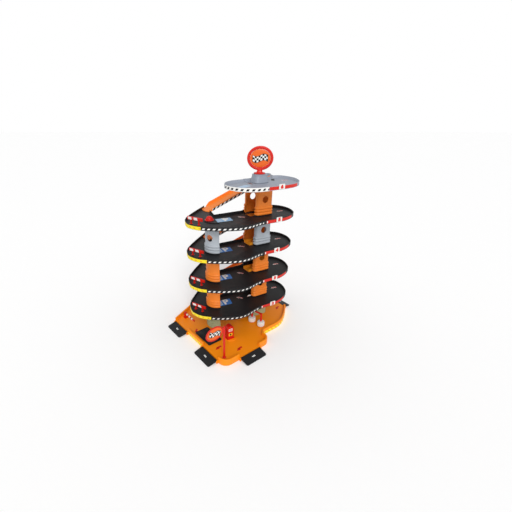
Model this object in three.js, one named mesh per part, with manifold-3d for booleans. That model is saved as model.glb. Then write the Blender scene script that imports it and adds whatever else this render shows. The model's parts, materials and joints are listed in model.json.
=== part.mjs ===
// Toy parking garage with a lift: a wide base tray, four black decks and a grey top deck,
// held by a lift tower and a round column, and joined by five ramps that climb behind the tower.
// Millimetres, +Z up. X runs along the decks, -Y is their front. The lift tower stands on
// X = Y = 0 until the last lines move the origin under the middle of the whole toy.
import * as THREE from 'three';
import { mergeVertices } from 'three/addons/utils/BufferGeometryUtils.js';
import Module from 'manifold-3d';

const wasm = await Module();
wasm.setup();

// Levels
const baseFloorHeight = 12;
const firstRise = 94.5;
const storeyRise = 110;
const topRise = 110.5;
const deckThickness = 2.8;
const seatGap = 0.3;
const cutOverrun = 5;

// Plan of a deck, measured from the tower's axis
const leftReach = 290;
const columnInset = 109;
const columnSpacing = leftReach - columnInset;
const columnForward = 6;
const rightReach = 126;
const frontReach = 133;
const rearReach = 42.5;
const rearInset = 6;
const armRootRight = 16;
const armRootBehind = 40;
const leftShares = [[-0.63, 1], [-0.765, 0.715], [-0.917, 0.361], [-0.976, 0.105], [-1, -0.15],
  [-0.982, -0.31], [-0.937, -0.495], [-0.822, -0.705], [-0.69, -0.873], [-0.559, -0.98], [-0.48, -1],
  [-0.39, -0.98], [-0.27, -0.9], [-0.16, -0.862]];
const rightShares = [[0.1, -0.865], [0.36, -0.82], [0.6, -0.714], [0.8, -0.564], [0.913, -0.383],
  [0.984, -0.188], [1, -0.02], [0.975, 0.17], [0.9, 0.308]];

// Deck rims
const rimRise = 8.6;
const rimDrop = 4;
const rimThickness = 2.6;
const rimChamfer = 0.8;
const collarHeight = 2.6;
const collarThickness = 2.2;
const collarGap = 0.4;

// Top deck
const topLobeRadius = 82;
const topLobeReach = 158;
const topLobeForward = 47.5;
const topLobeStartAngle = 95;
const topLobeEndAngle = 265;
const topFrontReach = 128;
const topRightReach = 135;
const topRimRise = 9;
const topRimDrop = 4;
const topRimLip = 2.4;
const topRimSlope = 7;
const topFrontShares = [[-0.3, -1.015], [0.08, -0.995], [0.43, -0.915], [0.74, -0.7], [0.9, -0.43],
  [0.98, -0.22], [1, -0.04], [0.98, 0.2], [0.9, 0.4]];

// Ramps
const rampWidth = 88;
const rampFootRight = 42;
const rampFootBehind = 145;
const rampHeadRight = 82;
const rampHeadBehind = 84.5;
const rampFloor = 2.4;
const rampWall = 2.4;
const rampWallHeight = 10;
const rampWallLead = 12;
const rampNose = 24;
const rampTongue = 8;
const rampMouthGap = 1;
const landingDepth = 28;
const landingReach = 121;
const landingBulge = 104;
const landingWaist = 99;
const landingWaistBehind = 62;

// Lift tower and round column
const towerWidth = 65;
const towerDepth = 75;
const towerRearExtra = 9;
const towerCorner = 9;
const doorCheek = 5;
const doorWidth = towerDepth - 2 * (towerCorner + doorCheek);
const shellThickness = 2.6;
const ribCount = 3;
const ribStart = 3.2;
const ribPitch = 10.3;
const ribDepth = 1.6;
const ribUndercut = 1.2;
const ribFade = 0.2;
const windowRadius = 12;
const windowShare = 0.53;
const columnRadius = 37;
const columnTurn = 207;
const columnWrapAngle = 55;

// Lift car and its guides
const trayMargin = 4;
const trayWidth = doorWidth - 2 * trayMargin;
const trayReach = 48;
const trayFloor = 2.4;
const trayWallHeight = 9;
const trayWall = 2;
const carPlate = 2.5;
const carPlateX = 20.5;
const carPlateRise = 22;
const carPlateMargin = 0.7;
const guideGap = 0.5;
const guideRib = 1.6;
const guideDepth = 4;
const shaftGap = 2;

// Turret and signs
const turretPlace = -towerRearExtra / 2;
const turretFoot = 56;
const turretTop = 46;
const turretDepthDrop = 6;
const turretHeight = 28;
const turretShoulder = 22;
const turretCorner = 12;
const signFlange = 40;
const signFlangeHeight = 4;
const signNeckWidth = 18;
const signNeckDepth = 12;
const signNeckHeight = 12;
const signWidth = 89;
const signHeight = 78;
const signRing = 9.8;
const signDepth = 8;
const signFaceDepth = 4;
const signTurn = -35;

// Base tray, in its own frame that is turned against the decks
const baseTurn = 9;
const baseLeft = 300;
const baseFront = 181;
const baseCorner = 30;
const baseFrontRight = 84;
const baseNotchForward = 133;
const baseNotchShift = 12;
const baseRight = 127;
const baseArmRight = 64;
const baseArmRear = 218;
const baseArmLeft = 150;
const baseShoulderX = 263;
const baseShoulderY = 164;
const baseLeftRear = 147;
const baseRimHeight = 24;
const baseRimWidth = 7;
const baseRimChamfer = 2;
const baseFloorThickness = 3;
const baseBowShares = [[-0.3, -1], [0.02, -1], [0.32, -0.93], [0.7, -0.715]];

// Exit flaps and the stretches of wall that hold them
const flapWidth = 90;
const flapLength = 35;
const flapHingeOut = 4.8;
const flapHingeHeight = 7.5;
const flapBarrel = 3;
const flapTip = 2.4;
const flapCorner = 6;
const flapPin = 1.5;
const flapPinGap = 0.3;
const flapPinLength = 3.6;
const flapSideGap = 0.6;
const flapEar = 4;
const flapEarReach = 8.2;
const flapEarHeight = 11;
const gateMargin = 1.5;
const gateCornerMargin = 7;
const gateFrontMargin = 37.5;
const gateRearMargin = 11.5;
const flapRearPlace = baseLeftRear - gateCornerMargin - flapWidth / 2;
const flapFrontLeftPlace = baseCorner - baseFront + gateCornerMargin + flapWidth / 2;
const flapFrontPlace = baseCorner - baseLeft + gateFrontMargin + flapWidth / 2;
const flapRightPlace = -11.5;
const baseSideFront = flapWidth / 2 + gateCornerMargin - flapRightPlace;
const baseSideRear = flapWidth / 2 + gateRearMargin + flapRightPlace;
const baseRear = baseSideRear + baseCorner;

// Guard rails at the left end of the decks
const guardLength = 61;
const guardHeight = 24;
const guardBar = 10.5;
const guardThickness = 4;
const guardLegInset = 14.7;
const guardLeg = 4.5;
const guardInset = 30;
const guardForward = 16;
const guardTurn = -61.5;

// Level tags on the front rim
const tagWidth = 23;
const tagHeight = 16.5;
const tagThickness = 1.4;
const tagRise = 3;
const tagPlace = 3.5;
const topTagPlace = -7.5;
const tagCorner = 2;

// Fuel pump
const pumpX = -182;
const pumpY = -107;
const pumpWidth = 25;
const pumpDepth = 20;
const pumpHeight = 57;
const pumpHead = 9;
const pumpFoot = 4;
const pumpFootMargin = 2.5;
const pumpRecess = 1.2;
const pumpPanelWidth = 17;
const pumpPanelHeight = 13;
const pumpPanelLow = 13;
const pumpPanelHigh = 33;

// Roadside sign
const poleX = -249.5;
const poleY = -191;
const poleHeight = 131;
const poleRadius = 2.6;
const poleFootRadius = 6.5;
const poleFootHeight = 3;
const poleSignWidth = 67;
const poleSignHeight = 52;
const poleSignRing = 5;
const poleSignDepth = 5;
const poleSignFaceDepth = 2.6;
const poleSignRise = 13;
const poleLug = 2.2;
const poleLugHeight = 16;

// Barrier
const barrierX = -258;
const barrierY = 136;
const barrierPivot = 20;
const barrierLength = 69;
const barrierArmHeight = 5.5;
const barrierArmWidth = 4;
const barrierHub = 4.2;
const barrierCheek = 2.4;
const barrierCheekGap = 0.4;
const barrierPostDepth = 11;
const barrierFoot = 15;
const barrierFootHeight = 3;
const barrierPin = 1.6;
const barrierPinGap = 0.3;

// Car wash
const rollerNearX = -52;
const rollerNearY = -62;
const rollerFarX = -38;
const rollerFarY = -104;
const rollerRadius = 14;
const rollerHeight = 19;
const rollerClearance = 3;
const rollerPin = 2;
const rollerPinGap = 0.3;
const rollerPinDepth = 15;
const rollerCollar = 3.6;
const rollerCollarHeight = 2;
const washBeamHeight = 53;
const washBeam = 5;
const washSaddle = 14;
const washSaddleThickness = 2;

// Service plate in the base floor
const plateX = -254;
const plateY = -22.5;
const plateWidth = 58;
const plateLength = 95;
const plateThickness = 2;
const plateCorner = 5;
const trackWidth = 13;
const trackHeight = 2.2;
const trackSpacing = 30;
const trackMargin = 9;
const trackBevel = 5;

// Cap in the column socket of the highest black deck
const capRadius = 12.6;
const capHeight = 12;
const capBrim = 2.5;
const capBrimOut = 3.2;
const capShift = 21;
const capTurn = 146;

const black = new THREE.MeshStandardMaterial({ color: 0x232326, roughness: 0.55, metalness: 0 });
const orange = new THREE.MeshStandardMaterial({ color: 0xe8781e, roughness: 0.42, metalness: 0 });
const trayOrange = new THREE.MeshStandardMaterial({ color: 0xee8a1c, roughness: 0.42, metalness: 0 });
const grey = new THREE.MeshStandardMaterial({ color: 0xa4a9b2, roughness: 0.45, metalness: 0 });
const olive = new THREE.MeshStandardMaterial({ color: 0x9b9a86, roughness: 0.5, metalness: 0 });
const red = new THREE.MeshStandardMaterial({ color: 0xd42a22, roughness: 0.35, metalness: 0 });
const white = new THREE.MeshStandardMaterial({ color: 0xeceae6, roughness: 0.5, metalness: 0 });

const garage = new THREE.Group();
const baseGroup = new THREE.Group();
baseGroup.rotation.z = THREE.MathUtils.degToRad(baseTurn);
garage.add(baseGroup);

const floors = [baseFloorHeight];
[firstRise, storeyRise, storeyRise, storeyRise, topRise].forEach((rise) => {
  floors.push(floors[floors.length - 1] + rise);
});
const topLevel = floors.length - 1;

// Plane geometry helpers

function point(x, y) {
  return new THREE.Vector2(x, y);
}

function arc(x, y, radius, fromDegrees, toDegrees, steps) {
  const from = THREE.MathUtils.degToRad(fromDegrees);
  const to = THREE.MathUtils.degToRad(toDegrees);
  return Array.from({ length: steps + 1 }, (_, i) => {
    const angle = from + ((to - from) * i) / steps;
    return point(x + radius * Math.cos(angle), y + radius * Math.sin(angle));
  });
}

function spline(points, steps) {
  return new THREE.SplineCurve(points).getPoints(steps);
}

function rightNormal(a, b) {
  const along = b.clone().sub(a).normalize();
  return point(along.y, -along.x);
}

// Moves every point of a path to its right by a distance, with mitred corners.
function offset(path, distance, closed) {
  const count = path.length;
  return path.map((here, i) => {
    const before = closed || i > 0 ? path[(i + count - 1) % count] : null;
    const after = closed || i < count - 1 ? path[(i + 1) % count] : null;
    const first = before ? rightNormal(before, here) : rightNormal(here, after);
    const second = after ? rightNormal(here, after) : first;
    const mitre = first.clone().add(second).normalize();
    return here.clone().addScaledVector(mitre, distance / mitre.dot(first));
  });
}

function wallSection(path, outward, inward) {
  return [...offset(path, outward, false), ...offset(path, -inward, false).reverse()];
}

function roundedBox(width, depth, corner, steps) {
  const x = width / 2 - corner;
  const y = depth / 2 - corner;
  return [...arc(x, y, corner, 0, 90, steps), ...arc(-x, y, corner, 90, 180, steps),
    ...arc(-x, -y, corner, 180, 270, steps), ...arc(x, -y, corner, 270, 360, steps)];
}

function ellipse(width, height, steps) {
  return Array.from({ length: steps }, (_, i) => {
    const angle = (2 * Math.PI * i) / steps;
    return point((width / 2) * Math.cos(angle), (height / 2) * Math.sin(angle));
  });
}

// Solid helpers

function toSolid(geometry) {
  const bare = geometry.clone();
  bare.deleteAttribute('normal');
  bare.deleteAttribute('uv');
  const merged = mergeVertices(bare);
  return new wasm.Manifold(new wasm.Mesh({
    numProp: 3,
    vertProperties: new Float32Array(merged.attributes.position.array),
    triVerts: new Uint32Array(merged.index.array),
  }));
}

function toGeometry(solid) {
  const mesh = solid.getMesh();
  const geometry = new THREE.BufferGeometry();
  geometry.setAttribute('position', new THREE.BufferAttribute(mesh.vertProperties, 3));
  geometry.setIndex(new THREE.BufferAttribute(mesh.triVerts, 1));
  geometry.computeVertexNormals();
  return geometry;
}

function fromFaces(vertices, faces) {
  const geometry = new THREE.BufferGeometry();
  geometry.setAttribute('position', new THREE.Float32BufferAttribute(vertices, 3));
  geometry.setIndex(faces);
  return geometry;
}

function prism(outline, bottom, top, holes = []) {
  const shape = new THREE.Shape(outline);
  shape.holes = holes.map((hole) => new THREE.Path(hole));
  const geometry = new THREE.ExtrudeGeometry(shape, { depth: top - bottom, bevelEnabled: false });
  return toSolid(geometry.translate(0, 0, bottom));
}

function block(left, right, front, rear, bottom, top) {
  const geometry = new THREE.BoxGeometry(right - left, rear - front, top - bottom);
  return toSolid(geometry.translate((left + right) / 2, (front + rear) / 2, (bottom + top) / 2));
}

// Upright round bar, or one along X or Y when an axis is named.
function bar(radius, length, x, y, z, axis = 'z', sides = 20) {
  const geometry = new THREE.CylinderGeometry(radius, radius, length, sides);
  if (axis === 'z') geometry.rotateX(Math.PI / 2);
  if (axis === 'x') geometry.rotateZ(Math.PI / 2);
  return toSolid(geometry.translate(x, y, z));
}

function join(...solids) {
  return solids.reduce((whole, next) => whole.add(next));
}

// Solid between outlines with equal point counts, each at its own height.
function loft(sections, heights) {
  const count = sections[0].length;
  const vertices = sections.flatMap((outline, i) => outline.flatMap((p) => [p.x, p.y, heights[i]]));
  const faces = [];
  for (let i = 0; i < sections.length - 1; i += 1) {
    for (let j = 0; j < count; j += 1) {
      const k = (j + 1) % count;
      const low = i * count;
      const high = low + count;
      faces.push(low + j, low + k, high + k, low + j, high + k, high + j);
    }
  }
  const last = (sections.length - 1) * count;
  THREE.ShapeUtils.triangulateShape(sections[0], []).forEach(([a, b, c]) => faces.push(a, c, b));
  THREE.ShapeUtils.triangulateShape(sections[sections.length - 1], []).forEach(([a, b, c]) => {
    faces.push(last + a, last + b, last + c);
  });
  return toSolid(fromFaces(vertices, faces));
}

// Rim: a section of [inset, height] pairs, outer side first, carried round a closed outline.
function rim(outline, section) {
  const count = outline.length;
  const rings = section.map(([inset]) => offset(outline, -inset, true));
  const vertices = rings.flatMap((ring, i) => ring.flatMap((p) => [p.x, p.y, section[i][1]]));
  const faces = [];
  for (let i = 0; i < section.length; i += 1) {
    for (let j = 0; j < count; j += 1) {
      const k = (j + 1) % count;
      const here = i * count;
      const next = ((i + 1) % section.length) * count;
      faces.push(here + j, here + k, next + k, here + j, next + k, next + j);
    }
  }
  return toSolid(fromFaces(vertices, faces));
}

function place(name, solid, material, parent = garage) {
  const mesh = new THREE.Mesh(toGeometry(solid), material);
  mesh.name = name;
  parent.add(mesh);
  return mesh;
}

// Plan shared by decks and ramps

const footCentre = point(rampFootRight - columnSpacing, rampFootBehind - columnForward);
const headCentre = point(rampHeadRight, rampHeadBehind);
const chordAway = headCentre.clone().sub(footCentre).normalize();
const chordAcross = point(-chordAway.y, chordAway.x);

function chordEnd(centre, side) {
  return centre.clone().addScaledVector(chordAcross, (side * rampWidth) / 2);
}

// Landing right of the ramp's head, from the waist beside the right lobe to its rear corner.
function landingSide() {
  const corner = chordEnd(headCentre, 1).addScaledVector(chordAway, landingDepth);
  return [point(landingWaist, landingWaistBehind), point(landingReach, landingBulge), corner];
}

// Rear edge over the ramp's head and behind the tower, as far as the rear shell's left side.
function rearEdge() {
  const towerSide = towerWidth / 2 + shaftGap;
  const headFront = chordEnd(headCentre, -1);
  return [chordEnd(headCentre, 1).addScaledVector(chordAway, rampMouthGap),
    headFront.clone().addScaledVector(chordAway, rampMouthGap),
    headFront.clone().addScaledVector(chordAcross, -rampMouthGap),
    point(towerSide, rearReach), point(-towerSide - towerRearExtra, rearReach),
    point(-towerSide - towerRearExtra - rearInset, rearReach - rearInset)];
}

function deckOutline() {
  const footFront = chordEnd(footCentre, -1).addScaledVector(chordAway, -rampMouthGap);
  const footRear = chordEnd(footCentre, 1).addScaledVector(chordAway, -rampMouthGap);
  const left = leftShares.map(([x, y]) => point(x * leftReach, y * frontReach));
  const right = rightShares.map(([x, y]) => point(x * rightReach, y * frontReach));
  const armRoot = point(armRootRight - columnSpacing, armRootBehind - columnForward);
  return [...spline([footRear, ...left, ...right, ...landingSide()], 44), ...rearEdge(), armRoot, footFront];
}

function topOutline() {
  const lobe = arc(topLobeRadius - topLobeReach, -topLobeForward, topLobeRadius,
    topLobeStartAngle, topLobeEndAngle, 14);
  const front = topFrontShares.map(([x, y]) => point(x * topRightReach, y * topFrontReach));
  const curved = spline([lobe[lobe.length - 1], ...front, ...landingSide()], 22);
  return [...lobe.slice(0, -1), ...curved, ...rearEdge()];
}

// Path of a tower shell's outer face, from the doorway round to the seam on the right.
function towerPath(extra) {
  const x = towerWidth / 2;
  const left = -x - extra;
  const y = towerDepth / 2;
  return [point(left, -doorWidth / 2),
    ...arc(towerCorner + left, towerCorner - y, towerCorner, 180, 270, 3),
    ...arc(x - towerCorner, towerCorner - y, towerCorner, 270, 360, 3),
    point(x, -seatGap / 2)];
}

// The rear shell mirrors the front one and is wider on the doorway's side.
function rearPath() {
  return towerPath(towerRearExtra).map((p) => point(p.x, -p.y)).reverse();
}

function columnPath() {
  return arc(-columnSpacing, -columnForward, columnRadius, columnTurn - columnWrapAngle,
    columnTurn + columnWrapAngle, 10);
}

// Decks

function collar(path, floor) {
  const section = wallSection(path, collarGap + collarThickness, -collarGap);
  return prism(section, floor - deckThickness / 2, floor + collarHeight);
}

// Opening that the lift car passes through, with the slot for its guide plate.
function shaft(floor) {
  const half = trayWidth / 2 + shaftGap;
  const plateHalf = towerDepth / 2 - shellThickness;
  const bottom = floor - rimDrop - cutOverrun;
  const top = floor + collarHeight + cutOverrun;
  return join(
    block(-trayReach - shaftGap, carPlateX + carPlate, -half, half, bottom, top),
    block(carPlateX - guideGap, carPlateX + carPlate + guideGap, -plateHalf, plateHalf, bottom, top),
  );
}

// Clears the rim where a ramp meets the deck.
function rampMouth(centre, floor) {
  const reach = rampWidth / 2 + rampMouthGap;
  const across = chordAcross.clone().multiplyScalar(reach);
  const deep = chordAway.clone().multiplyScalar(rimThickness + topRimSlope);
  const corners = [[1, 1], [-1, 1], [-1, -1], [1, -1]].map(([a, b]) => centre.clone()
    .addScaledVector(across, a).addScaledVector(deep, b));
  return prism(corners.reverse(), floor, floor + rimRise + cutOverrun);
}

function deck(level) {
  const floor = floors[level];
  const outline = deckOutline();
  const section = [[0, floor - rimDrop], [0, floor + rimRise - rimChamfer],
    [rimChamfer, floor + rimRise], [rimThickness, floor + rimRise], [rimThickness, floor - rimDrop]];
  const plate = prism(offset(outline, -rimThickness / 2, true), floor - deckThickness, floor);
  let solid = join(plate, rim(outline, section), collar(columnPath(), floor),
    collar(towerPath(0), floor), collar(rearPath(), floor));
  solid = solid.subtract(shaft(floor));
  solid = solid.subtract(rampMouth(footCentre, floor));
  return solid.subtract(rampMouth(headCentre, floor));
}

function topDeck() {
  const floor = floors[topLevel];
  const outline = topOutline();
  const section = [[0, floor - topRimDrop], [0, floor + topRimRise], [topRimLip, floor + topRimRise],
    [topRimSlope, floor], [topRimSlope, floor - deckThickness], [topRimLip, floor - deckThickness],
    [topRimLip, floor - topRimDrop]];
  const plate = prism(offset(outline, -topRimLip, true), floor - deckThickness, floor);
  const slotHalf = trayWidth / 2 + shaftGap;
  const slot = block(-trayReach - shaftGap, turretPlace - turretFoot / 2 - shaftGap, -slotHalf, slotHalf,
    floor - cutOverrun, floor + cutOverrun);
  return join(plate, rim(outline, section)).subtract(slot).subtract(rampMouth(headCentre, floor));
}

// Ramps

// Channel along +Z with its walls sloped down at the foot, before it leans with the climb.
function rampChannel(length) {
  const half = rampWidth / 2;
  const wallTop = rampWallHeight + rampFloor;
  const section = [point(-half, 0), point(half, 0), point(half, wallTop), point(half - rampWall, wallTop),
    point(half - rampWall, rampFloor), point(rampWall - half, rampFloor), point(rampWall - half, wallTop),
    point(-half, wallTop)];
  const lead = [point(-rampWallLead, rampFloor), point(0, rampFloor), point(rampWallLead, wallTop),
    point(rampWallLead, wallTop + cutOverrun), point(-rampWallLead, wallTop + cutOverrun)];
  const slope = prism(lead, -half - cutOverrun, half + cutOverrun).rotate([0, -90, 0]);
  return prism(section, 0, length).subtract(slope);
}

// Channel with a round nose on the deck below and a tongue on the deck above.
function ramp(lower) {
  const start = floors[lower] + seatGap;
  const climb = floors[lower + 1] - floors[lower];
  const run = headCentre.clone().sub(footCentre);
  const lean = new THREE.Matrix4().makeBasis(
    new THREE.Vector3(chordAcross.x, chordAcross.y, 0),
    new THREE.Vector3(0, 0, 1),
    new THREE.Vector3(run.x, run.y, climb).divideScalar(run.length()),
  ).setPosition(footCentre.x, footCentre.y, start);
  const noseHalf = rampWidth / 2 - rampWall / 2;
  const nose = arc(0, 0, 1, 0, 180, 8).map((unit) => footCentre.clone()
    .addScaledVector(chordAcross, noseHalf * unit.x)
    .addScaledVector(chordAway, rampMouthGap / 2 - rampNose * unit.y));
  const headInside = headCentre.clone().addScaledVector(chordAway, -rampMouthGap / 2);
  const rear = headInside.clone().addScaledVector(chordAcross, noseHalf);
  const front = headInside.clone().addScaledVector(chordAcross, -noseHalf);
  const tongue = [front, front.clone().addScaledVector(chordAway, rampTongue),
    rear.clone().addScaledVector(chordAway, rampTongue), rear];
  const armTip = point(leftShares[0][0] * leftReach, leftShares[0][1] * frontReach);
  const armSide = [chordEnd(footCentre, 1), armTip];
  const outside = prism(wallSection(armSide, rampWidth, rimThickness + seatGap),
    start - cutOverrun, start + cutOverrun);
  return join(rampChannel(run.length()).transform(lean.elements),
    prism(nose, start, start + rampFloor).subtract(outside),
    prism(tongue, start + climb, start + climb + rampFloor));
}

// Tower shells and column shells

// Lapped ribs round a shell's foot, as heights and projections of one skin.
function ribLevels() {
  const levels = [[ribStart, -ribFade]];
  for (let i = 0; i < ribCount; i += 1) {
    const foot = ribStart + i * ribPitch;
    levels.push([foot + ribUndercut, ribDepth], [foot + ribPitch, ribFade]);
  }
  levels.push([ribStart + ribCount * ribPitch + ribUndercut, -ribFade]);
  return levels;
}

function storeyHeight(level) {
  return floors[level + 1] - floors[level] - deckThickness - 2 * seatGap;
}

function shell(path, level) {
  const foot = floors[level] + seatGap;
  const wall = prism(wallSection(path, 0, shellThickness), foot, foot + storeyHeight(level));
  const levels = ribLevels();
  const ribs = loft(levels.map(([, out]) => wallSection(path, out, shellThickness / 2)),
    levels.map(([z]) => foot + z));
  return join(wall, ribs);
}

function guideRibs(level, side) {
  const foot = floors[level] + seatGap;
  const top = foot + storeyHeight(level);
  const wall = towerDepth / 2 - shellThickness / 2;
  const inner = towerDepth / 2 - shellThickness - guideDepth;
  const left = carPlateX - guideGap;
  const right = carPlateX + carPlate + guideGap;
  return [[left - guideRib, left], [right, right + guideRib]].map(([from, to]) => (side < 0
    ? block(from, to, -wall, -inner, foot, top)
    : block(from, to, inner, wall, foot, top)));
}

function towerShell(level, side) {
  const path = side < 0 ? towerPath(0) : rearPath();
  const middle = side < 0 ? 0 : -towerRearExtra / 2;
  const sight = floors[level] + storeyHeight(level) * windowShare;
  const hole = bar(windowRadius, towerDepth, middle, (side * towerDepth) / 2, sight, 'y', 18);
  return join(shell(path, level), ...guideRibs(level, side)).subtract(hole);
}

function columnShell(level) {
  const sight = floors[level] + storeyHeight(level) * windowShare;
  const hole = bar(windowRadius, columnRadius, 0, 0, 0, 'x', 18).translate([columnRadius, 0, 0])
    .rotate([0, 0, columnTurn]).translate([-columnSpacing, -columnForward, sight]);
  return shell(columnPath(), level).subtract(hole);
}

// Lift car with two trays on one guide plate

function tray(floor) {
  const half = trayWidth / 2;
  const bottom = floor - trayFloor;
  const plateEdge = carPlateX + carPlate / 2;
  return join(
    block(-trayReach, plateEdge, -half, half, bottom, floor),
    block(-trayReach, plateEdge, -half, trayWall - half, bottom, floor + trayWallHeight),
    block(-trayReach, plateEdge, half - trayWall, half, bottom, floor + trayWallHeight),
  );
}

function liftCar() {
  const half = towerDepth / 2 - shellThickness - carPlateMargin;
  const plate = block(carPlateX, carPlateX + carPlate, -half, half,
    floors[2] - trayFloor, floors[3] + carPlateRise);
  return join(tray(floors[2]), tray(floors[3]), plate);
}

// Turret and signs

function turret() {
  const foot = floors[topLevel] + seatGap;
  const sizes = [[turretFoot, 0], [turretTop, turretShoulder], [turretTop, turretHeight]];
  return loft(sizes.map(([size]) => roundedBox(size, size - turretDepthDrop, turretCorner, 5)),
    sizes.map(([, z]) => foot + z));
}

// Upright oval ring in the XZ plane with its centre at the origin.
function ovalRing(width, height, ring, depth) {
  const outer = prism(ellipse(width, height, 32), -depth / 2, depth / 2,
    [ellipse(width - 2 * ring, height - 2 * ring, 28)]);
  return outer.rotate([90, 0, 0]);
}

function ovalFace(width, height, ring, depth) {
  return prism(ellipse(width - 2 * (ring + seatGap), height - 2 * (ring + seatGap), 28),
    -depth / 2, depth / 2).rotate([90, 0, 0]);
}

function topSign() {
  const foot = floors[topLevel] + 2 * seatGap + turretHeight;
  const centre = foot + signFlangeHeight + signNeckHeight + signHeight / 2 - signRing / 2;
  const flange = bar(signFlange / 2, signFlangeHeight, 0, 0, foot + signFlangeHeight / 2, 'z', 28);
  const neck = block(-signNeckWidth / 2, signNeckWidth / 2, -signNeckDepth / 2, signNeckDepth / 2,
    foot, foot + signFlangeHeight + signNeckHeight);
  const ring = ovalRing(signWidth, signHeight, signRing, signDepth).translate([0, 0, centre]);
  const face = ovalFace(signWidth, signHeight, signRing, signFaceDepth).translate([0, 0, centre]);
  return { ring: join(flange, neck, ring), face };
}

// Base tray

function baseOutline() {
  const corner = arc(baseCorner - baseLeft, baseCorner - baseFront, baseCorner, 180, 270, 5);
  const nose = arc(-baseFrontRight - baseCorner, baseCorner - baseFront, baseCorner, 270, 360, 5);
  const bow = baseBowShares.map(([x, y]) => point(x * baseRight, y * baseNotchForward));
  const rearCorner = arc(baseRight - baseCorner, baseRear - baseCorner, baseCorner, 0, 90, 5);
  const front = spline([...bow, point(baseRight, -baseSideFront)], 9);
  const notch = [point(-baseFrontRight, -baseNotchForward - baseNotchShift),
    point(baseNotchShift - baseFrontRight, -baseNotchForward)];
  const arm = [point(baseNotchShift - baseArmRight, baseRear),
    point(-baseArmRight, baseRear + baseNotchShift),
    point(-baseArmRight, baseArmRear - baseNotchShift), point(-baseArmRight - baseNotchShift, baseArmRear),
    point(-baseArmLeft, baseArmRear), point(-baseShoulderX, baseShoulderY), point(-baseLeft, baseLeftRear)];
  return [...corner, ...nose, ...notch, ...front, ...rearCorner, ...arm];
}

// Each gate: its middle, the way out, and the name of the flap that hangs there.
const gates = [
  { name: 'exit_flap_left_rear', x: -baseLeft, y: flapRearPlace, turn: 180 },
  { name: 'exit_flap_left_front', x: -baseLeft, y: flapFrontLeftPlace, turn: 180 },
  { name: 'exit_flap_front', x: flapFrontPlace, y: -baseFront, turn: 270 },
  { name: 'exit_flap_right', x: baseRight, y: flapRightPlace, turn: 0 },
];

function atGate(solid, gate) {
  return solid.rotate([0, 0, gate.turn]).translate([gate.x, gate.y, 0]);
}

// Ears with pin holes, outside the wall at both ends of a gate that faces +X.
function gateEars() {
  const inner = flapWidth / 2 + flapSideGap;
  const profile = [point(-baseRimWidth / 2, 0), point(flapEarReach, 0), point(flapEarReach, flapHingeHeight),
    point(flapHingeOut, flapEarHeight), point(-baseRimWidth / 2, flapEarHeight)];
  const ear = prism(profile, inner, inner + flapEar).rotate([90, 0, 0]);
  const hole = bar(flapPin + flapPinGap, flapWidth + 4 * flapEar, flapHingeOut, 0, flapHingeHeight, 'y', 12);
  return join(ear, ear.mirror([0, 1, 0])).subtract(hole);
}

function gateCut() {
  const half = flapWidth / 2 + gateMargin;
  return block(-baseRimWidth - cutOverrun, cutOverrun, -half, half, baseFloorHeight,
    baseRimHeight + cutOverrun);
}

function baseTray() {
  const outline = baseOutline();
  const section = [[0, 0], [0, baseRimHeight - baseRimChamfer], [baseRimChamfer, baseRimHeight],
    [baseRimWidth - baseRimChamfer, baseRimHeight], [baseRimWidth, baseRimHeight - baseRimChamfer],
    [baseRimWidth, 0]];
  let solid = join(rim(outline, section), prism(offset(outline, -baseRimWidth / 2, true),
    baseFloorHeight - baseFloorThickness, baseFloorHeight));
  gates.forEach((gate) => {
    solid = solid.subtract(atGate(gateCut(), gate)).add(atGate(gateEars(), gate));
  });
  return solid;
}

// Flap that slopes from its hinge barrel down to the ground, built for a gate that faces +X.
function exitFlap() {
  const tip = flapHingeOut + flapLength;
  const profile = [point(flapHingeOut, flapHingeHeight + flapBarrel), point(flapHingeOut, flapHingeHeight),
    point(flapHingeOut + flapBarrel, flapHingeHeight - flapBarrel), point(tip, 0), point(tip, flapTip)];
  const wedge = prism(profile, -flapWidth / 2, flapWidth / 2).rotate([90, 0, 0]);
  const plan = [point(0, -flapWidth / 2),
    ...arc(tip - flapCorner, flapCorner - flapWidth / 2, flapCorner, 270, 360, 4),
    ...arc(tip - flapCorner, flapWidth / 2 - flapCorner, flapCorner, 0, 90, 4), point(0, flapWidth / 2)];
  const trim = prism(plan, -cutOverrun, baseRimHeight);
  const barrel = bar(flapBarrel, flapWidth, flapHingeOut, 0, flapHingeHeight, 'y', 12);
  const pins = bar(flapPin, flapWidth + 2 * flapPinLength, flapHingeOut, 0, flapHingeHeight, 'y', 10);
  return join(wedge.intersect(trim), barrel, pins);
}

// Things that stand on the base

function pumpBody() {
  const foot = baseFloorHeight + seatGap;
  const half = pumpWidth / 2;
  const head = arc(0, pumpHeight - half, half, 0, 180, 12);
  const profile = [point(-half, 0), point(half, 0), ...head];
  const post = prism(profile, -pumpDepth / 2, pumpDepth / 2).rotate([90, 0, 0]);
  const footHalf = pumpFootMargin;
  const island = block(-half - footHalf, half + footHalf, -pumpDepth / 2 - footHalf,
    pumpDepth / 2 + footHalf, 0, pumpFoot);
  const panels = [pumpPanelLow, pumpPanelHigh].map((low) => block(-pumpPanelWidth / 2, pumpPanelWidth / 2,
    -pumpDepth / 2 - cutOverrun, pumpRecess - pumpDepth / 2, low, low + pumpPanelHeight));
  const neck = block(-half - cutOverrun, half + cutOverrun, -pumpDepth / 2 - cutOverrun,
    pumpRecess - pumpDepth / 2, pumpHeight - pumpHead - pumpRecess, pumpHeight - pumpHead);
  const solid = panels.reduce((whole, panel) => whole.subtract(panel), join(post, island)).subtract(neck);
  return solid.translate([0, 0, foot]);
}

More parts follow.
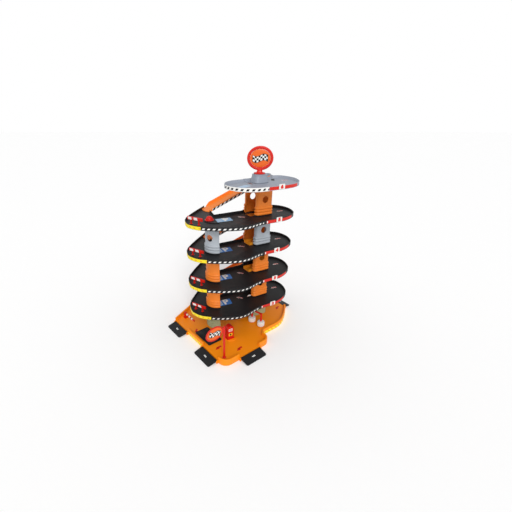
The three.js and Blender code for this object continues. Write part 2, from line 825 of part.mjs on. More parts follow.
function poleSign() {
  const foot = baseFloorHeight + seatGap;
  const top = foot + poleHeight;
  const signX = -poleRadius - poleLug - poleSignWidth / 2;
  const signZ = top + poleSignRise - poleSignHeight / 2;
  const pole = bar(poleRadius, poleHeight, 0, 0, foot + poleHeight / 2, 'z', 14);
  const plinth = bar(poleFootRadius, poleFootHeight, 0, 0, foot + poleFootHeight / 2, 'z', 20);
  const lug = block(-poleRadius - poleLug - poleSignRing / 2, 0, -poleSignDepth / 2, poleSignDepth / 2,
    signZ - poleLugHeight / 2, signZ + poleLugHeight / 2);
  const ring = ovalRing(poleSignWidth, poleSignHeight, poleSignRing, poleSignDepth)
    .translate([signX, 0, signZ]);
  const face = ovalFace(poleSignWidth, poleSignHeight, poleSignRing, poleSignFaceDepth)
    .translate([signX, 0, signZ]);
  return { pole: join(pole, plinth, lug, ring), face };
}

// Barrier post with two cheeks, and the arm that swings up between them; the arm points to -Y.
function barrierPost() {
  const foot = baseFloorHeight + seatGap;
  const pivot = baseFloorHeight + barrierPivot;
  const inner = barrierArmWidth / 2 + barrierCheekGap;
  const outer = inner + barrierCheek;
  const half = barrierPostDepth / 2;
  const top = pivot + half;
  const cheek = block(inner, outer, -half, half, foot, top);
  const web = block(-outer, outer, -half, half, foot, pivot - barrierHub - barrierCheek);
  const pad = block(-barrierFoot / 2, barrierFoot / 2, -barrierFoot / 2, barrierFoot / 2,
    foot, foot + barrierFootHeight);
  const hole = bar(barrierPin + barrierPinGap, barrierFoot, 0, 0, pivot, 'x', 16);
  return join(cheek, cheek.mirror([1, 0, 0]), web, pad).subtract(hole);
}

function barrierArm() {
  const pivot = baseFloorHeight + barrierPivot;
  const beam = block(-barrierArmWidth / 2, barrierArmWidth / 2, -barrierLength, 0,
    pivot - barrierArmHeight / 2, pivot + barrierArmHeight / 2);
  const hub = bar(barrierHub, barrierArmWidth, 0, 0, pivot, 'x', 18);
  const pinLength = barrierArmWidth + 2 * (barrierCheekGap + barrierCheek);
  return join(beam, hub, bar(barrierPin, pinLength, 0, 0, pivot, 'x', 16));
}

// Car wash: two rollers hang from a beam that is clipped to the tower's front corner

function washRoller() {
  const foot = baseFloorHeight + rollerClearance;
  const body = bar(rollerRadius, rollerHeight, 0, 0, foot + rollerHeight / 2, 'z', 28);
  const bore = bar(rollerPin + rollerPinGap, 2 * rollerPinDepth, 0, 0, foot + rollerHeight, 'z', 14);
  return body.subtract(bore);
}

function beamBetween(from, to, width, bottom, top) {
  const path = [from, to];
  return prism(wallSection(path, width / 2, width / 2), bottom, top);
}

function washGantry() {
  const near = point(rollerNearX, rollerNearY);
  const far = point(rollerFarX, rollerFarY);
  const wall = point(washSaddle - towerWidth / 2, -towerDepth / 2);
  const bottom = baseFloorHeight + washBeamHeight;
  const top = bottom + washBeam;
  const rollerTop = baseFloorHeight + rollerClearance + rollerHeight;
  const pinFoot = rollerTop - rollerPinDepth + rollerClearance;
  const pins = [near, far].flatMap((p) => [
    bar(rollerPin, top - pinFoot, p.x, p.y, (top + pinFoot) / 2, 'z', 14),
    bar(rollerCollar, top - rollerTop - rollerCollarHeight, p.x, p.y,
      (top + rollerTop + rollerCollarHeight) / 2, 'z', 14),
  ]);
  const saddleFace = -towerDepth / 2 - ribFade - seatGap;
  const saddle = block(wall.x - washSaddle / 2, wall.x + washSaddle / 2, saddleFace - washSaddleThickness,
    saddleFace, bottom - washBeam / 2, top + washSaddle);
  const corner = point(wall.x, saddleFace - washBeam / 2);
  return join(beamBetween(far, near, washBeam, bottom, top),
    beamBetween(near, corner, washBeam, bottom, top), saddle, ...pins);
}

// Service plate with two wheel tracks

function servicePlate() {
  const foot = baseFloorHeight + seatGap;
  const outline = roundedBox(plateWidth, plateLength, plateCorner, 3);
  const plate = prism(outline, foot, foot + plateThickness);
  const half = plateLength / 2 - trackMargin;
  const bottom = plateThickness / 2;
  const top = plateThickness + trackHeight;
  const profile = [point(-half, bottom), point(half, bottom), point(half - trackBevel, top),
    point(trackBevel - half, top)];
  const track = prism(profile, -trackWidth / 2, trackWidth / 2).rotate([90, 0, 90]);
  const tracks = [-1, 1].map((side) => track.translate([(side * trackSpacing) / 2, 0, foot]));
  return join(plate, ...tracks);
}

// Small pieces on the decks

function guardRail(level) {
  const foot = floors[level] + seatGap;
  const half = guardLength / 2;
  const beam = block(-half, half, -guardThickness / 2, guardThickness / 2,
    foot + guardHeight - guardBar, foot + guardHeight);
  const legs = [-1, 1].map((side) => {
    const x = side * (half - guardLegInset);
    return block(x - guardLeg / 2, x + guardLeg / 2, -guardThickness / 2, guardThickness / 2,
      foot, foot + guardHeight - guardBar / 2);
  });
  const pads = [-1, 1].map((side) => {
    const x = side * (half - guardLegInset);
    return block(x - guardLeg, x + guardLeg, -guardLeg, guardLeg, foot, foot + seatGap + rimChamfer);
  });
  return join(beam, ...legs, ...pads).rotate([0, 0, guardTurn])
    .translate([guardInset - leftReach, -guardForward, 0]);
}

// Foremost Y that an outline reaches between two X values.
function foremost(outline, left, right) {
  const crossings = outline.flatMap((here, i) => {
    const next = outline[(i + 1) % outline.length];
    return [left, right].filter((x) => (here.x - x) * (next.x - x) < 0)
      .map((x) => here.y + ((next.y - here.y) * (x - here.x)) / (next.x - here.x));
  });
  return Math.min(...crossings, ...outline.filter((p) => p.x > left && p.x < right).map((p) => p.y));
}

function levelTag(level, spot, outline, rise, drop) {
  const edge = foremost(outline, spot - tagWidth / 2, spot + tagWidth / 2) - seatGap;
  const plate = prism(roundedBox(tagWidth, tagHeight, tagCorner, 3), 0, tagThickness).rotate([90, 0, 0]);
  return plate.translate([spot, edge, floors[level] + (rise - drop) / 2 + tagRise]);
}

function columnCap() {
  const foot = floors[4] + seatGap;
  const dome = arc(0, 0, 1, 0, 90, 4)
    .map((unit) => point(capRadius * unit.x, capBrim + capHeight * unit.y));
  const profile = [point(0, 0), point(capRadius + capBrimOut, 0), point(capRadius + capBrimOut, capBrim),
    ...dome.slice(0, -1), point(0, capBrim + capHeight)];
  const geometry = new THREE.LatheGeometry(profile, 18).rotateX(Math.PI / 2);
  const turn = THREE.MathUtils.degToRad(capTurn);
  return toSolid(geometry).translate([capShift * Math.cos(turn) - columnSpacing,
    capShift * Math.sin(turn) - columnForward, foot]);
}

// Assembly

place('base_tray', baseTray(), trayOrange, baseGroup);
gates.forEach((gate) => place(gate.name, atGate(exitFlap(), gate), black, baseGroup));

[1, 2, 3, 4].forEach((level) => {
  place(`deck_${level + 1}`, deck(level), black);
  place(`guard_rail_${level + 1}`, guardRail(level), red);
  place(`level_tag_${level + 1}`, levelTag(level, tagPlace, deckOutline(), rimRise, rimDrop), white);
});
place('top_deck', topDeck(), grey);
place('level_tag_6', levelTag(topLevel, topTagPlace, topOutline(), topRimRise, topRimDrop), white);

const storeyFinishes = [olive, orange, orange, grey, orange];
const rearFinishes = [black, black, black, orange, orange];
storeyFinishes.forEach((finish, level) => {
  place(`tower_front_${level + 1}`, towerShell(level, -1), finish);
  place(`tower_rear_${level + 1}`, towerShell(level, 1), rearFinishes[level]);
  place(`ramp_${level + 1}`, ramp(level), orange);
});
storeyFinishes.slice(0, -1).forEach((finish, level) => {
  place(`column_${level + 1}`, columnShell(level), finish);
});
place('column_cap', columnCap(), red);
place('lift_car', liftCar(), orange);

place('turret', turret(), grey).position.setX(turretPlace);
const sign = topSign();
const signPieces = [['top_sign', sign.ring, red], ['top_sign_face', sign.face, orange]];
signPieces.forEach(([name, solid, look]) => {
  const piece = place(name, solid, look);
  piece.position.setX(turretPlace);
  piece.rotation.z = THREE.MathUtils.degToRad(signTurn);
});

place('fuel_pump', pumpBody(), red).position.set(pumpX, pumpY, 0);
const roadside = poleSign();
const roadsidePieces = [['pole_sign', roadside.pole, red], ['pole_sign_face', roadside.face, orange]];
roadsidePieces.forEach(([name, solid, look]) => {
  const piece = place(name, solid, look);
  piece.position.set(poleX, poleY, 0);
  piece.rotation.z = THREE.MathUtils.degToRad(baseTurn);
});
place('barrier_post', barrierPost(), red, baseGroup).position.set(barrierX, barrierY, 0);
place('barrier_arm', barrierArm(), red, baseGroup).position.set(barrierX, barrierY, 0);
place('service_plate', servicePlate(), black, baseGroup).position.set(plateX, plateY, 0);

place('wash_gantry', washGantry(), red);
place('wash_roller_near', washRoller(), white).position.set(rollerNearX, rollerNearY, 0);
place('wash_roller_far', washRoller(), white).position.set(rollerFarX, rollerFarY, 0);

garage.updateMatrixWorld(true);
const bounds = new THREE.Box3().setFromObject(garage, true);
const middle = bounds.getCenter(new THREE.Vector3());
garage.position.set(-middle.x, -middle.y, -bounds.min.z);

export default garage;
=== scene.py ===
"""Looks of a toy parking garage with a lift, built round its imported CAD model.

Lengths are millimetres in the garage's own plan, whose origin is the lift tower's axis on
the ground. Workshop.to_frame moves them into the frame's metres.
"""

import json
import logging
import math
from dataclasses import dataclass, field, replace
from enum import Enum
from functools import cache, partial
from typing import Any, Callable, Optional, Sequence

import bmesh
import bpy
import numpy as np
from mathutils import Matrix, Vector


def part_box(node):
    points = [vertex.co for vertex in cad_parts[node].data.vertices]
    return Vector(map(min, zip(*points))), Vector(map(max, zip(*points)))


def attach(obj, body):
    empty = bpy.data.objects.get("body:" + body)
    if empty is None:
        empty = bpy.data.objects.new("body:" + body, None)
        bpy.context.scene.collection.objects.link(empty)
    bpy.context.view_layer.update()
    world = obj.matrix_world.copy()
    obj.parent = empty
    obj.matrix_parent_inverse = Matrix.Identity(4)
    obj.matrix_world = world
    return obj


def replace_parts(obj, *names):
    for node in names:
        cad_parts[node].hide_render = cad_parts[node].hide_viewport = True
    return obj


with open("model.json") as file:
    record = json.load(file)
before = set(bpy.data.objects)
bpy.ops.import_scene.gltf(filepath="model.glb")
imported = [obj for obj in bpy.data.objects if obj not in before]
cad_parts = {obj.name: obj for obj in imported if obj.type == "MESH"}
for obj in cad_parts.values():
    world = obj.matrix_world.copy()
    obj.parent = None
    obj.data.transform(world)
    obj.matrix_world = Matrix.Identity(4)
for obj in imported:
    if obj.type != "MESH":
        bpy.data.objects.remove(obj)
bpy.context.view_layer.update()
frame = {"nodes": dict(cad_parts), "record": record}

LOG = logging.getLogger("garage")
MM = 0.001
# Heights of the base's floor and of the raised decks' floors, and which of them are black
# decks and the top deck
FLOORS = (12.0, 106.5, 216.5, 326.5, 436.5, 547.0)
DECKS = (1, 2, 3, 4)
TOP = 5
# Gap under parts that stand on others, thickness of a sticker, and what a print on a
# sticker stands over it
GAP = 0.3
PAPER = 0.25
OVER = 0.15
# Greatest angle in degrees between faces that shade smooth
SMOOTH = 35.0
# Plan places of the car wash's near roller, which gives the plan's origin, and of the
# round column's axis
NEAR_ROLLER = (-52.0, -62.0)
COLUMN = (-181.0, -6.0)
# UV map in millimetres along and up a label
LABEL_MAP = "label"

Pair = tuple[float, float]
Triple = tuple[float, float, float]
Colour = Triple
Tree = bpy.types.NodeTree
Node = bpy.types.Node
Socket = bpy.types.NodeSocket
Sockets = bpy.types.bpy_prop_collection
Values = dict[str | int, Any]


# Shader nodes and groups


def linear(red: int, green: int, blue: int) -> Colour:
    """Works out the linear colour of a display colour.

    Args:
        red: Red from 0 to 255.
        green: Green from 0 to 255.
        blue: Blue from 0 to 255.

    Returns:
        The linear colour from 0 to 1.
    """
    share = np.array([red, green, blue]) / 255
    curve = np.where(share <= 0.04045, share / 12.92, ((share + 0.055) / 1.055) ** 2.4)
    return tuple(float(part) for part in curve)


def join(node: Node, values: Values) -> Sockets:
    """Sets or links a node's inputs.

    Args:
        node: The node.
        values: Number, colour or socket for each input, by its name or number.

    Returns:
        The node's outputs.
    """
    for label, value in values.items():
        if isinstance(value, Socket):
            node.id_data.links.new(value, node.inputs[label])
        else:
            node.inputs[label].default_value = value
    return node.outputs


def add_node(tree: Tree, kind: str, values: Values) -> Sockets:
    """Outputs of a new node, whose type is the word ShaderNode and its kind."""
    return join(tree.nodes.new("ShaderNode" + kind), values)


def add_group(tree: Tree, group: Tree, values: Values) -> Sockets:
    """Places a group in a material.

    Args:
        tree: The material's tree.
        group: The group.
        values: Number or socket for each input.

    Returns:
        The group's outputs.
    """
    node = tree.nodes.new("ShaderNodeGroup")
    node.node_tree = group
    return join(node, values)


def maths(tree: Tree, operation: str, *values: Socket | float) -> Socket:
    """Adds a Math node.

    Args:
        tree: The material's tree or the group.
        operation: The node's operation.
        *values: Socket or number for each of its terms.

    Returns:
        The result.
    """
    node = tree.nodes.new("ShaderNodeMath")
    node.operation = operation
    return join(node, dict(enumerate(values)))[0]


def mixed(tree: Tree, share: Socket | float, first: Any, second: Any, blend: str = "MIX") -> Socket:
    """Adds a Mix node for colours.

    Args:
        tree: The material's tree.
        share: Share of the second colour.
        first: First colour or its socket.
        second: Second colour or its socket.
        blend: The node's way of mixing.

    Returns:
        The mixed colour.
    """
    node = tree.nodes.new("ShaderNodeMix")
    node.data_type = "RGBA"
    node.blend_type = blend
    return join(node, {0: share, 6: first, 7: second})[2]


def noise(tree: Tree, place: Socket, scale: float, detail: float) -> Socket:
    """Factor of a noise at a place."""
    return add_node(tree, "TexNoise", {"Vector": place, "Scale": scale, "Detail": detail})["Fac"]


def object_place(tree: Tree) -> Socket:
    """Object coordinates."""
    return add_node(tree, "TexCoord", {})["Object"]


def label_place(tree: Tree) -> Sequence[Socket]:
    """Reads a label's own UV map.

    Args:
        tree: The group.

    Returns:
        Millimetres along the label and up it.
    """
    node = tree.nodes.new("ShaderNodeUVMap")
    node.uv_map = LABEL_MAP
    return add_node(tree, "SeparateXYZ", {0: node.outputs["UV"]})[:2]


def new_group(name: str, inputs: dict[str, float], outputs: Sequence[str]) -> tuple[Tree, Sockets, Node]:
    """Makes an empty shader group.

    Args:
        name: The group's name.
        inputs: Default of each input by its name.
        outputs: Names of the outputs.

    Returns:
        The group, the sockets of its Group Input and its Group Output.
    """
    group = bpy.data.node_groups.new(name, "ShaderNodeTree")
    for label, value in inputs.items():
        socket = group.interface.new_socket(label, in_out="INPUT", socket_type="NodeSocketFloat")
        socket.default_value = value
    for label in outputs:
        group.interface.new_socket(label, in_out="OUTPUT", socket_type="NodeSocketFloat")
    return group, group.nodes.new("NodeGroupInput").outputs, group.nodes.new("NodeGroupOutput")


@cache
def moulded_skin() -> Tree:
    """Fine grain, slow sink marks and light scuffs of injection-moulded plastic.

    Returns:
        The group, which gives Shade, Roughness and Height.
    """
    inputs = {"Grain": 0.5, "Roughness": 0.4, "Scuffs": 0.3}
    group, given, sink = new_group("moulded_skin", inputs, ("Shade", "Roughness", "Height"))
    scratched_from, scuff_dullness = 0.64, 0.3
    sink_shade, sink_dullness, sink_height = 0.06, 0.12, 3.0
    streak = {"Scale": (30.0, 420.0, 90.0), "Rotation": (0.3, 0.2, 0.7)}
    work = partial(maths, group)
    place = object_place(group)
    grain = noise(group, place, scale=2600.0, detail=1.0)
    slow = noise(group, place, scale=24.0, detail=2.0)
    streaked = add_node(group, "Mapping", {"Vector": place, **streak})["Vector"]
    scratch = noise(group, streaked, scale=1.0, detail=3.0)
    worn = work("MULTIPLY", work("GREATER_THAN", scratch, scratched_from), slow)
    centred = work("SUBTRACT", slow, 0.5)
    dull = work("MULTIPLY_ADD", centred, sink_dullness, given["Roughness"])
    scuffed = work("MULTIPLY", given["Scuffs"], scuff_dullness)
    join(sink, {
        "Shade": work("MULTIPLY_ADD", centred, sink_shade, 1.0),
        "Roughness": work("MULTIPLY_ADD", worn, scuffed, dull),
        "Height": work("MULTIPLY_ADD", slow, sink_height, work("MULTIPLY", grain, given["Grain"])),
    })
    return group


@cache
def ink_wear() -> Tree:
    """Uneven ink and gloss of a printed vinyl label.

    Returns:
        The group, which gives Shade, Roughness and Height.
    """
    group, given, sink = new_group("ink_wear", {"Roughness": 0.4}, ("Shade", "Roughness", "Height"))
    least_shade, shade_range, dullness = 0.96, 0.08, 0.1
    place = object_place(group)
    cloud = noise(group, place, scale=90.0, detail=3.0)
    join(sink, {
        "Shade": maths(group, "MULTIPLY_ADD", cloud, shade_range, least_shade),
        "Roughness": maths(group, "MULTIPLY_ADD", cloud, dullness, given["Roughness"]),
        "Height": noise(group, place, scale=1500.0, detail=2.0),
    })
    return group


@cache
def slanted_blocks() -> Tree:
    """Row of slanted blocks along a label.

    The mask is 1 where the fraction of (u + slant * v) / period is under the share and v lies
    between low and high, with u along the label and v up.

    Returns:
        The group, which gives Mask.
    """
    inputs = {"Period": 20.0, "Share": 0.5, "Slant": 0.5, "Low": 0.0, "High": 20.0}
    group, given, sink = new_group("slanted_blocks", inputs, ("Mask",))
    work = partial(maths, group)
    along, up = label_place(group)
    leaned = work("DIVIDE", work("MULTIPLY_ADD", up, given["Slant"], along), given["Period"])
    block = work("LESS_THAN", work("FRACT", leaned), given["Share"])
    band = work("MULTIPLY", work("GREATER_THAN", up, given["Low"]), work("LESS_THAN", up, given["High"]))
    join(sink, {"Mask": work("MULTIPLY", block, band)})
    return group


@cache
def checked_cells() -> Tree:
    """Square cells in two colours: the mask is 1 where the cells' numbers add up to an odd one.

    Returns:
        The group, which gives Mask.
    """
    group, given, sink = new_group("checked_cells", {"Period": 5.0}, ("Mask",))
    work = partial(maths, group)
    cells = [work("FLOOR", work("DIVIDE", side, given["Period"])) for side in label_place(group)]
    pairs = work("MULTIPLY", work("ADD", *cells), 0.5)
    join(sink, {"Mask": work("GREATER_THAN", work("FRACT", pairs), 0.25)})
    return group


# Finishes


@dataclass(frozen=True)
class Finish:
    """What every finish has.

    Args:
        name: The material's name.
        colour: Linear colour of its ground.
        slot: The record's material slot of what it covers; not used.
        roughness: Mean roughness.
        coat: Weight of the clear gloss over the colour.
        specular: Strength of the plain reflection.
        coat_roughness: Roughness of the clear gloss.
        relief: Strength of the bump.
        relief_depth: Depth of the bump in metres.
    """

    name: str
    colour: Colour
    slot: str
    roughness: float = 0.42
    coat: float = 0.0
    specular: float = 0.3
    coat_roughness: float = 0.12
    relief: float = 0.25
    relief_depth: float = 0.0001

    def skin(self, tree: Tree) -> Sockets:
        """Shade, Roughness and Height of the finish."""
        raise NotImplementedError

    def ground(self, tree: Tree) -> Any:
        """Colour, or its socket, under the skin's shade."""
        return (*self.colour, 1.0)

    def material(self) -> bpy.types.Material:
        """Makes the material at its first use.

        Returns:
            The material.
        """
        made = bpy.data.materials.get(self.name)
        if made:
            return made
        made = bpy.data.materials.new(self.name)
        made.use_nodes = True
        tree = made.node_tree
        skin = self.skin(tree)
        relief = {"Height": skin["Height"], "Strength": self.relief, "Distance": self.relief_depth}
        join(tree.nodes["Principled BSDF"], {
            "Base Color": mixed(tree, 1.0, self.ground(tree), skin["Shade"], "MULTIPLY"),
            "Roughness": skin["Roughness"],
            "Normal": add_node(tree, "Bump", relief)["Normal"],
            "Specular IOR Level": self.specular,
            "Coat Weight": self.coat,
            "Coat Roughness": self.coat_roughness,
        })
        return made


@dataclass(frozen=True)
class Plastic(Finish):
    """Finish of one moulded colour.

    Args:
        grain: Height of the fine texture, as a share of the relief's depth.
        scuffs: Strength of the scuffs in the gloss.
    """

    grain: float = 0.5
    scuffs: float = 0.4

    def skin(self, tree: Tree) -> Sockets:
        """Outputs of the moulded skin with this finish's values."""
        values = {"Grain": self.grain, "Roughness": self.roughness, "Scuffs": self.scuffs}
        return add_group(tree, moulded_skin(), values)


class Pattern(Enum):
    """Printed patterns that follow a label's own UV map."""

    SLANTED = "slanted"
    CHECKED = "checked"


@dataclass(frozen=True)
class Print(Finish):
    """Finish of a printed vinyl label, plain or with a pattern of two inks.

    Roughness, coat, specular and relief have a label's own values.

    Args:
        ink: Linear colour of the pattern.
        pattern: The pattern, or None on a plain label.
        values: The pattern group's inputs.
    """

    roughness: float = 0.38
    coat: float = 0.05
    specular: float = 0.2
    coat_roughness: float = 0.03
    relief: float = 0.15
    relief_depth: float = 0.00005
    ink: Colour = (0.0, 0.0, 0.0)
    pattern: Optional[Pattern] = None
    values: tuple[tuple[str, float], ...] = ()

    def skin(self, tree: Tree) -> Sockets:
        """Outputs of the ink's wear with this finish's roughness."""
        return add_group(tree, ink_wear(), {"Roughness": self.roughness})

    def ground(self, tree: Tree) -> Any:
        """Gives the plain colour, or mixes both inks where the label has a pattern.

        Args:
            tree: The material's tree.

        Returns:
            The colour, or its socket.
        """
        if self.pattern is None:
            return (*self.colour, 1.0)
        group = {Pattern.SLANTED: slanted_blocks, Pattern.CHECKED: checked_cells}[self.pattern]()
        mask = add_group(tree, group, dict(self.values))["Mask"]
        return mixed(tree, mask, (*self.colour, 1.0), (*self.ink, 1.0))


def slanted(period: float, share: float, slant: float, low: float, high: float) -> dict[str, Any]:
    """Pattern and values of a label with slanted blocks."""
    values = (("Period", period), ("Share", share), ("Slant", slant), ("Low", low), ("High", high))
    return {"pattern": Pattern.SLANTED, "values": values}


BLACK = Plastic("black_moulding", linear(30, 30, 32), "black_plastic", 0.5, specular=0.25, grain=0.8)
ORANGE = Plastic("orange_moulding", linear(245, 134, 44), "orange_plastic")
TRAY_ORANGE = Plastic("tray_orange_moulding", linear(246, 139, 10), "tray_orange_plastic", 0.46,
                      specular=0.25, grain=0.7)
LIFT_ORANGE = Plastic("lift_orange_moulding", linear(236, 150, 36), "orange_plastic", 0.44, grain=0.7)
GREY = Plastic("grey_moulding", linear(150, 157, 169), "grey_plastic")
PALE_GREY = Plastic("pale_grey_moulding", linear(180, 187, 194), "grey_plastic")
# Grey of the lowest storey's shells with painted light: the orange bounce light from the base is painted
# into it as an olive tint
BOUNCE_TINTED_GREY = Plastic("olive_moulding", linear(166, 166, 126), "olive_plastic", 0.48)
RED = Plastic("red_moulding", linear(206, 27, 12), "red_plastic", 0.36, 0.1, grain=0.2, scuffs=0.1)
WHITE = Plastic("white_moulding", linear(226, 223, 218), "white_plastic", 0.5, grain=0.8)
SIGN_ORANGE = Plastic("sign_face", linear(228, 100, 26), "orange_plastic", 0.38, 0.1, grain=0.2, scuffs=0.2)

WHITE_INK = linear(232, 231, 227)
BLACK_INK = linear(30, 30, 33)
DECK_BLOCKS = Print("deck_blocks", BLACK.colour, "black_plastic", ink=WHITE_INK,
                    **slanted(16.6, 0.46, -0.8, 3.3, 7.9))
TOP_BLOCKS = Print("top_blocks", WHITE_INK, "grey_plastic", ink=BLACK_INK,
                   **slanted(17.8, 0.48, -0.6, 2.6, 9.2))
RAMP_BLOCKS = Print("ramp_blocks", WHITE_INK, "orange_plastic", ink=BLACK_INK,
                    **slanted(17.8, 0.5, -0.6, -1.0, 20.0))
YELLOW_LABEL = Print("yellow_label", linear(234, 212, 40), "black_plastic", ink=linear(214, 140, 30),
                     **slanted(19.0, 0.3, 1.0, 3.6, 7.4))
BASE_LABEL = Print("base_label", linear(246, 220, 50), "tray_orange_plastic", ink=linear(226, 140, 20),
                   **slanted(19.0, 0.2, 1.0, 0.0, 30.0))
FLAG_PRINT = Print("flag_print", WHITE_INK, "orange_plastic", ink=BLACK_INK,
                   pattern=Pattern.CHECKED, values=(("Period", 6.4),))
RED_LABEL = Print("red_label", linear(204, 38, 24), "black_plastic")
WHITE_PRINT = Print("white_print", WHITE_INK, "white_plastic")
RED_PRINT = Print("red_print", linear(206, 34, 26), "red_plastic")
BLUE_PRINT = Print("blue_print", linear(58, 120, 196), "black_plastic")
SKY_PRINT = Print("sky_blue_print", linear(140, 180, 214), "black_plastic")
PALE_PRINT = Print("pale_blue_print", linear(166, 192, 216), "grey_plastic")
YELLOW_PRINT = Print("yellow_print", linear(236, 200, 40), "red_plastic")
DARK_PRINT = Print("dark_print", linear(30, 30, 34), "black_plastic")


class Body(Enum):
    """The CAD bodies that pieces ride on."""

    ROOT = "root"
    LIFT = "lift"
    FLAP_LEFT_REAR = "flap_left_rear"
    FLAP_LEFT_FRONT = "flap_left_front"
    FLAP_FRONT = "flap_front"
    FLAP_RIGHT = "flap_right"
    BARRIER = "barrier"
    ROLLER_NEAR = "roller_near"
    ROLLER_FAR = "roller_far"


# Surfaces worked out on grids


@dataclass(frozen=True)
class Spot:
    """Place and turn of a local frame in the garage's plan.

    Args:
        x: Plan place across.
        y: Plan place in depth.
        turn: Degrees about Z.
    """

    x: float = 0.0
    y: float = 0.0
    turn: float = 0.0

    def map(self, points: np.ndarray) -> np.ndarray:
        """Turns local points by the spot's angle and moves them to its place.

        Args:
            points: Local points, any grid by 3.

        Returns:
            The plan's points.
        """
        cosine, sine = math.cos(math.radians(self.turn)), math.sin(math.radians(self.turn))
        turned = np.array([(cosine, sine, 0.0), (-sine, cosine, 0.0), (0.0, 0.0, 1.0)])
        return points @ turned + (self.x, self.y, 0.0)


# The base's own frame, which is turned in the plan
BASE = Spot(turn=9.0)


@dataclass
class Patch:
    """Closed grid of points that becomes a mesh; its last column joins the first.

    Args:
        points: Rows by columns by 3.
        close_rows: Whether the last row joins the first.
        uv: Rows by columns by 2, or None.
    """

    points: np.ndarray
    close_rows: bool = False
    uv: Optional[np.ndarray] = None

    def faces(self) -> np.ndarray:
        """Numbers the corners of every quad.

        Returns:
            Quads by 4.
        """
        rows, columns = self.points.shape[:2]
        numbers = np.arange(rows * columns).reshape(rows, columns)
        numbers = np.pad(numbers, ((0, int(self.close_rows)), (0, 1)), mode="wrap")
        quads = np.stack([numbers[:-1, :-1], numbers[:-1, 1:], numbers[1:, 1:], numbers[1:, :-1]], axis=-1)
        return quads.reshape(-1, 4)

    def moved(self, *spots: Spot) -> "Patch":
        """Lays the grid on a spot, and that spot on the next one.

        Args:
            *spots: The spots from the inner one outwards.

        Returns:
            The moved grid.
        """
        points = self.points
        for spot in spots:
            points = spot.map(points)
        return replace(self, points=points)

    def upright(self, front: float) -> "Patch":
        """Stands a flat grid up: its depth becomes height and its thickness faces -Y."""
        across, up, out = np.moveaxis(self.points, -1, 0)
        return replace(self, points=np.stack([across, front - out, up], axis=-1))


def arc(radius: float, start: float, end: float, count: int) -> np.ndarray:
    """Arc of points round the origin between two angles in degrees."""
    angle = np.radians(np.linspace(start, end, count))
    return radius * np.column_stack([np.cos(angle), np.sin(angle)])


def round_turn(steps: int) -> np.ndarray:
    """Evenly spaced angles of one turn."""
    return np.linspace(0.0, 2 * math.pi, steps, endpoint=False)


def superellipse(angle: np.ndarray, power: float) -> list[np.ndarray]:
    """Signed power 2 / power of the cosine and of the sine."""
    return [np.sign(part) * np.abs(part) ** (2 / power) for part in (np.cos(angle), np.sin(angle))]


def spline(points: np.ndarray, steps: int) -> np.ndarray:
    """Uniform Catmull-Rom curve: a cubic between two points, its slopes half their neighbours' distance.

    Args:
        points: Points by 2 that the curve passes.
        steps: Number of its segments.

    Returns:
        The curve's points, one more than the steps.
    """
    last = len(points) - 1
    place = np.linspace(0.0, last, steps + 1)
    first = place.astype(int)
    share = (place - first)[:, None]
    before, here, after, beyond = (points[np.clip(first + shift, 0, last)] for shift in (-1, 0, 1, 2))
    in_slope, out_slope = (after - before) / 2, (beyond - here) / 2
    return ((2 * here - 2 * after + in_slope + out_slope) * share ** 3
            + (-3 * here + 3 * after - 2 * in_slope - out_slope) * share ** 2 + in_slope * share + here)


def raised(path: np.ndarray, height: float) -> np.ndarray:
    """Plan path at one height."""
    return np.column_stack([path, np.full(len(path), height)])


def capped(points: np.ndarray, uv: Optional[np.ndarray] = None) -> Patch:
    """Closes a swept tube by a row at each end that is drawn together in the end's mean.

    Args:
        points: Rows along the sweep by columns round the section.
        uv: Label coordinates of the same shape, or None.

    Returns:
        The closed grid.
    """
    start, end = (np.broadcast_to(row.mean(axis=0), row.shape)[None] for row in (points[0], points[-1]))
    if uv is not None:
        uv = np.concatenate([uv[:1], uv, uv[-1:]])
    return Patch(np.concatenate([start, points, end]), uv=uv)


def path_frames(path: np.ndarray) -> tuple[np.ndarray, np.ndarray]:
    """Arc length and right-hand normal at each point of a plan path.

    Args:
        path: Points by 2 or 3; a third value is a height.

    Returns:
        The lengths from the start, and the mitred normals: the means of the neighbouring
        segments' normals, stretched to keep their distance from both segments.
    """
    steps = np.diff(path, axis=0)
    lengths = np.concatenate([[0.0], np.cumsum(np.linalg.norm(steps, axis=1))])
    flat = steps[:, :2] / np.linalg.norm(steps[:, :2], axis=1, keepdims=True)
    right = np.stack([flat[:, 1], -flat[:, 0]], axis=1)
    mean = np.concatenate([right[:1], right[:-1] + right[1:], right[-1:]])
    mean /= np.linalg.norm(mean, axis=1, keepdims=True)
    before = np.concatenate([right[:1], right])
    return lengths, mean / np.sum(mean * before, axis=1, keepdims=True)


def stretch(edge: np.ndarray, start: Pair, end: Pair, spare: float = 0.0) -> np.ndarray:
    """Part of an edge between the places nearest to two plan points.

    Args:
        edge: Points of the whole edge.
        start: Plan point near the stretch's start.
        end: Plan point near its end.
        spare: Length left out at both ends.

    Returns:
        The stretch's points, with the edge's own corners between its ends.
    """
    samples, least_step = 4000, 0.5
    lengths, _ = path_frames(edge)

    def at(places: np.ndarray) -> np.ndarray:
        """Points of the edge at some lengths."""
        return np.column_stack([np.interp(places, lengths, side) for side in edge.T])

    fine = np.linspace(0.0, lengths[-1], samples)
    first, last = (fine[np.argmin(np.linalg.norm(at(fine) - point, axis=1))] for point in (start, end))
    first, last = first + spare, last - spare
    inner = lengths[(lengths > first + least_step) & (lengths < last - least_step)]
    return at(np.concatenate([[first], inner, [last]]))


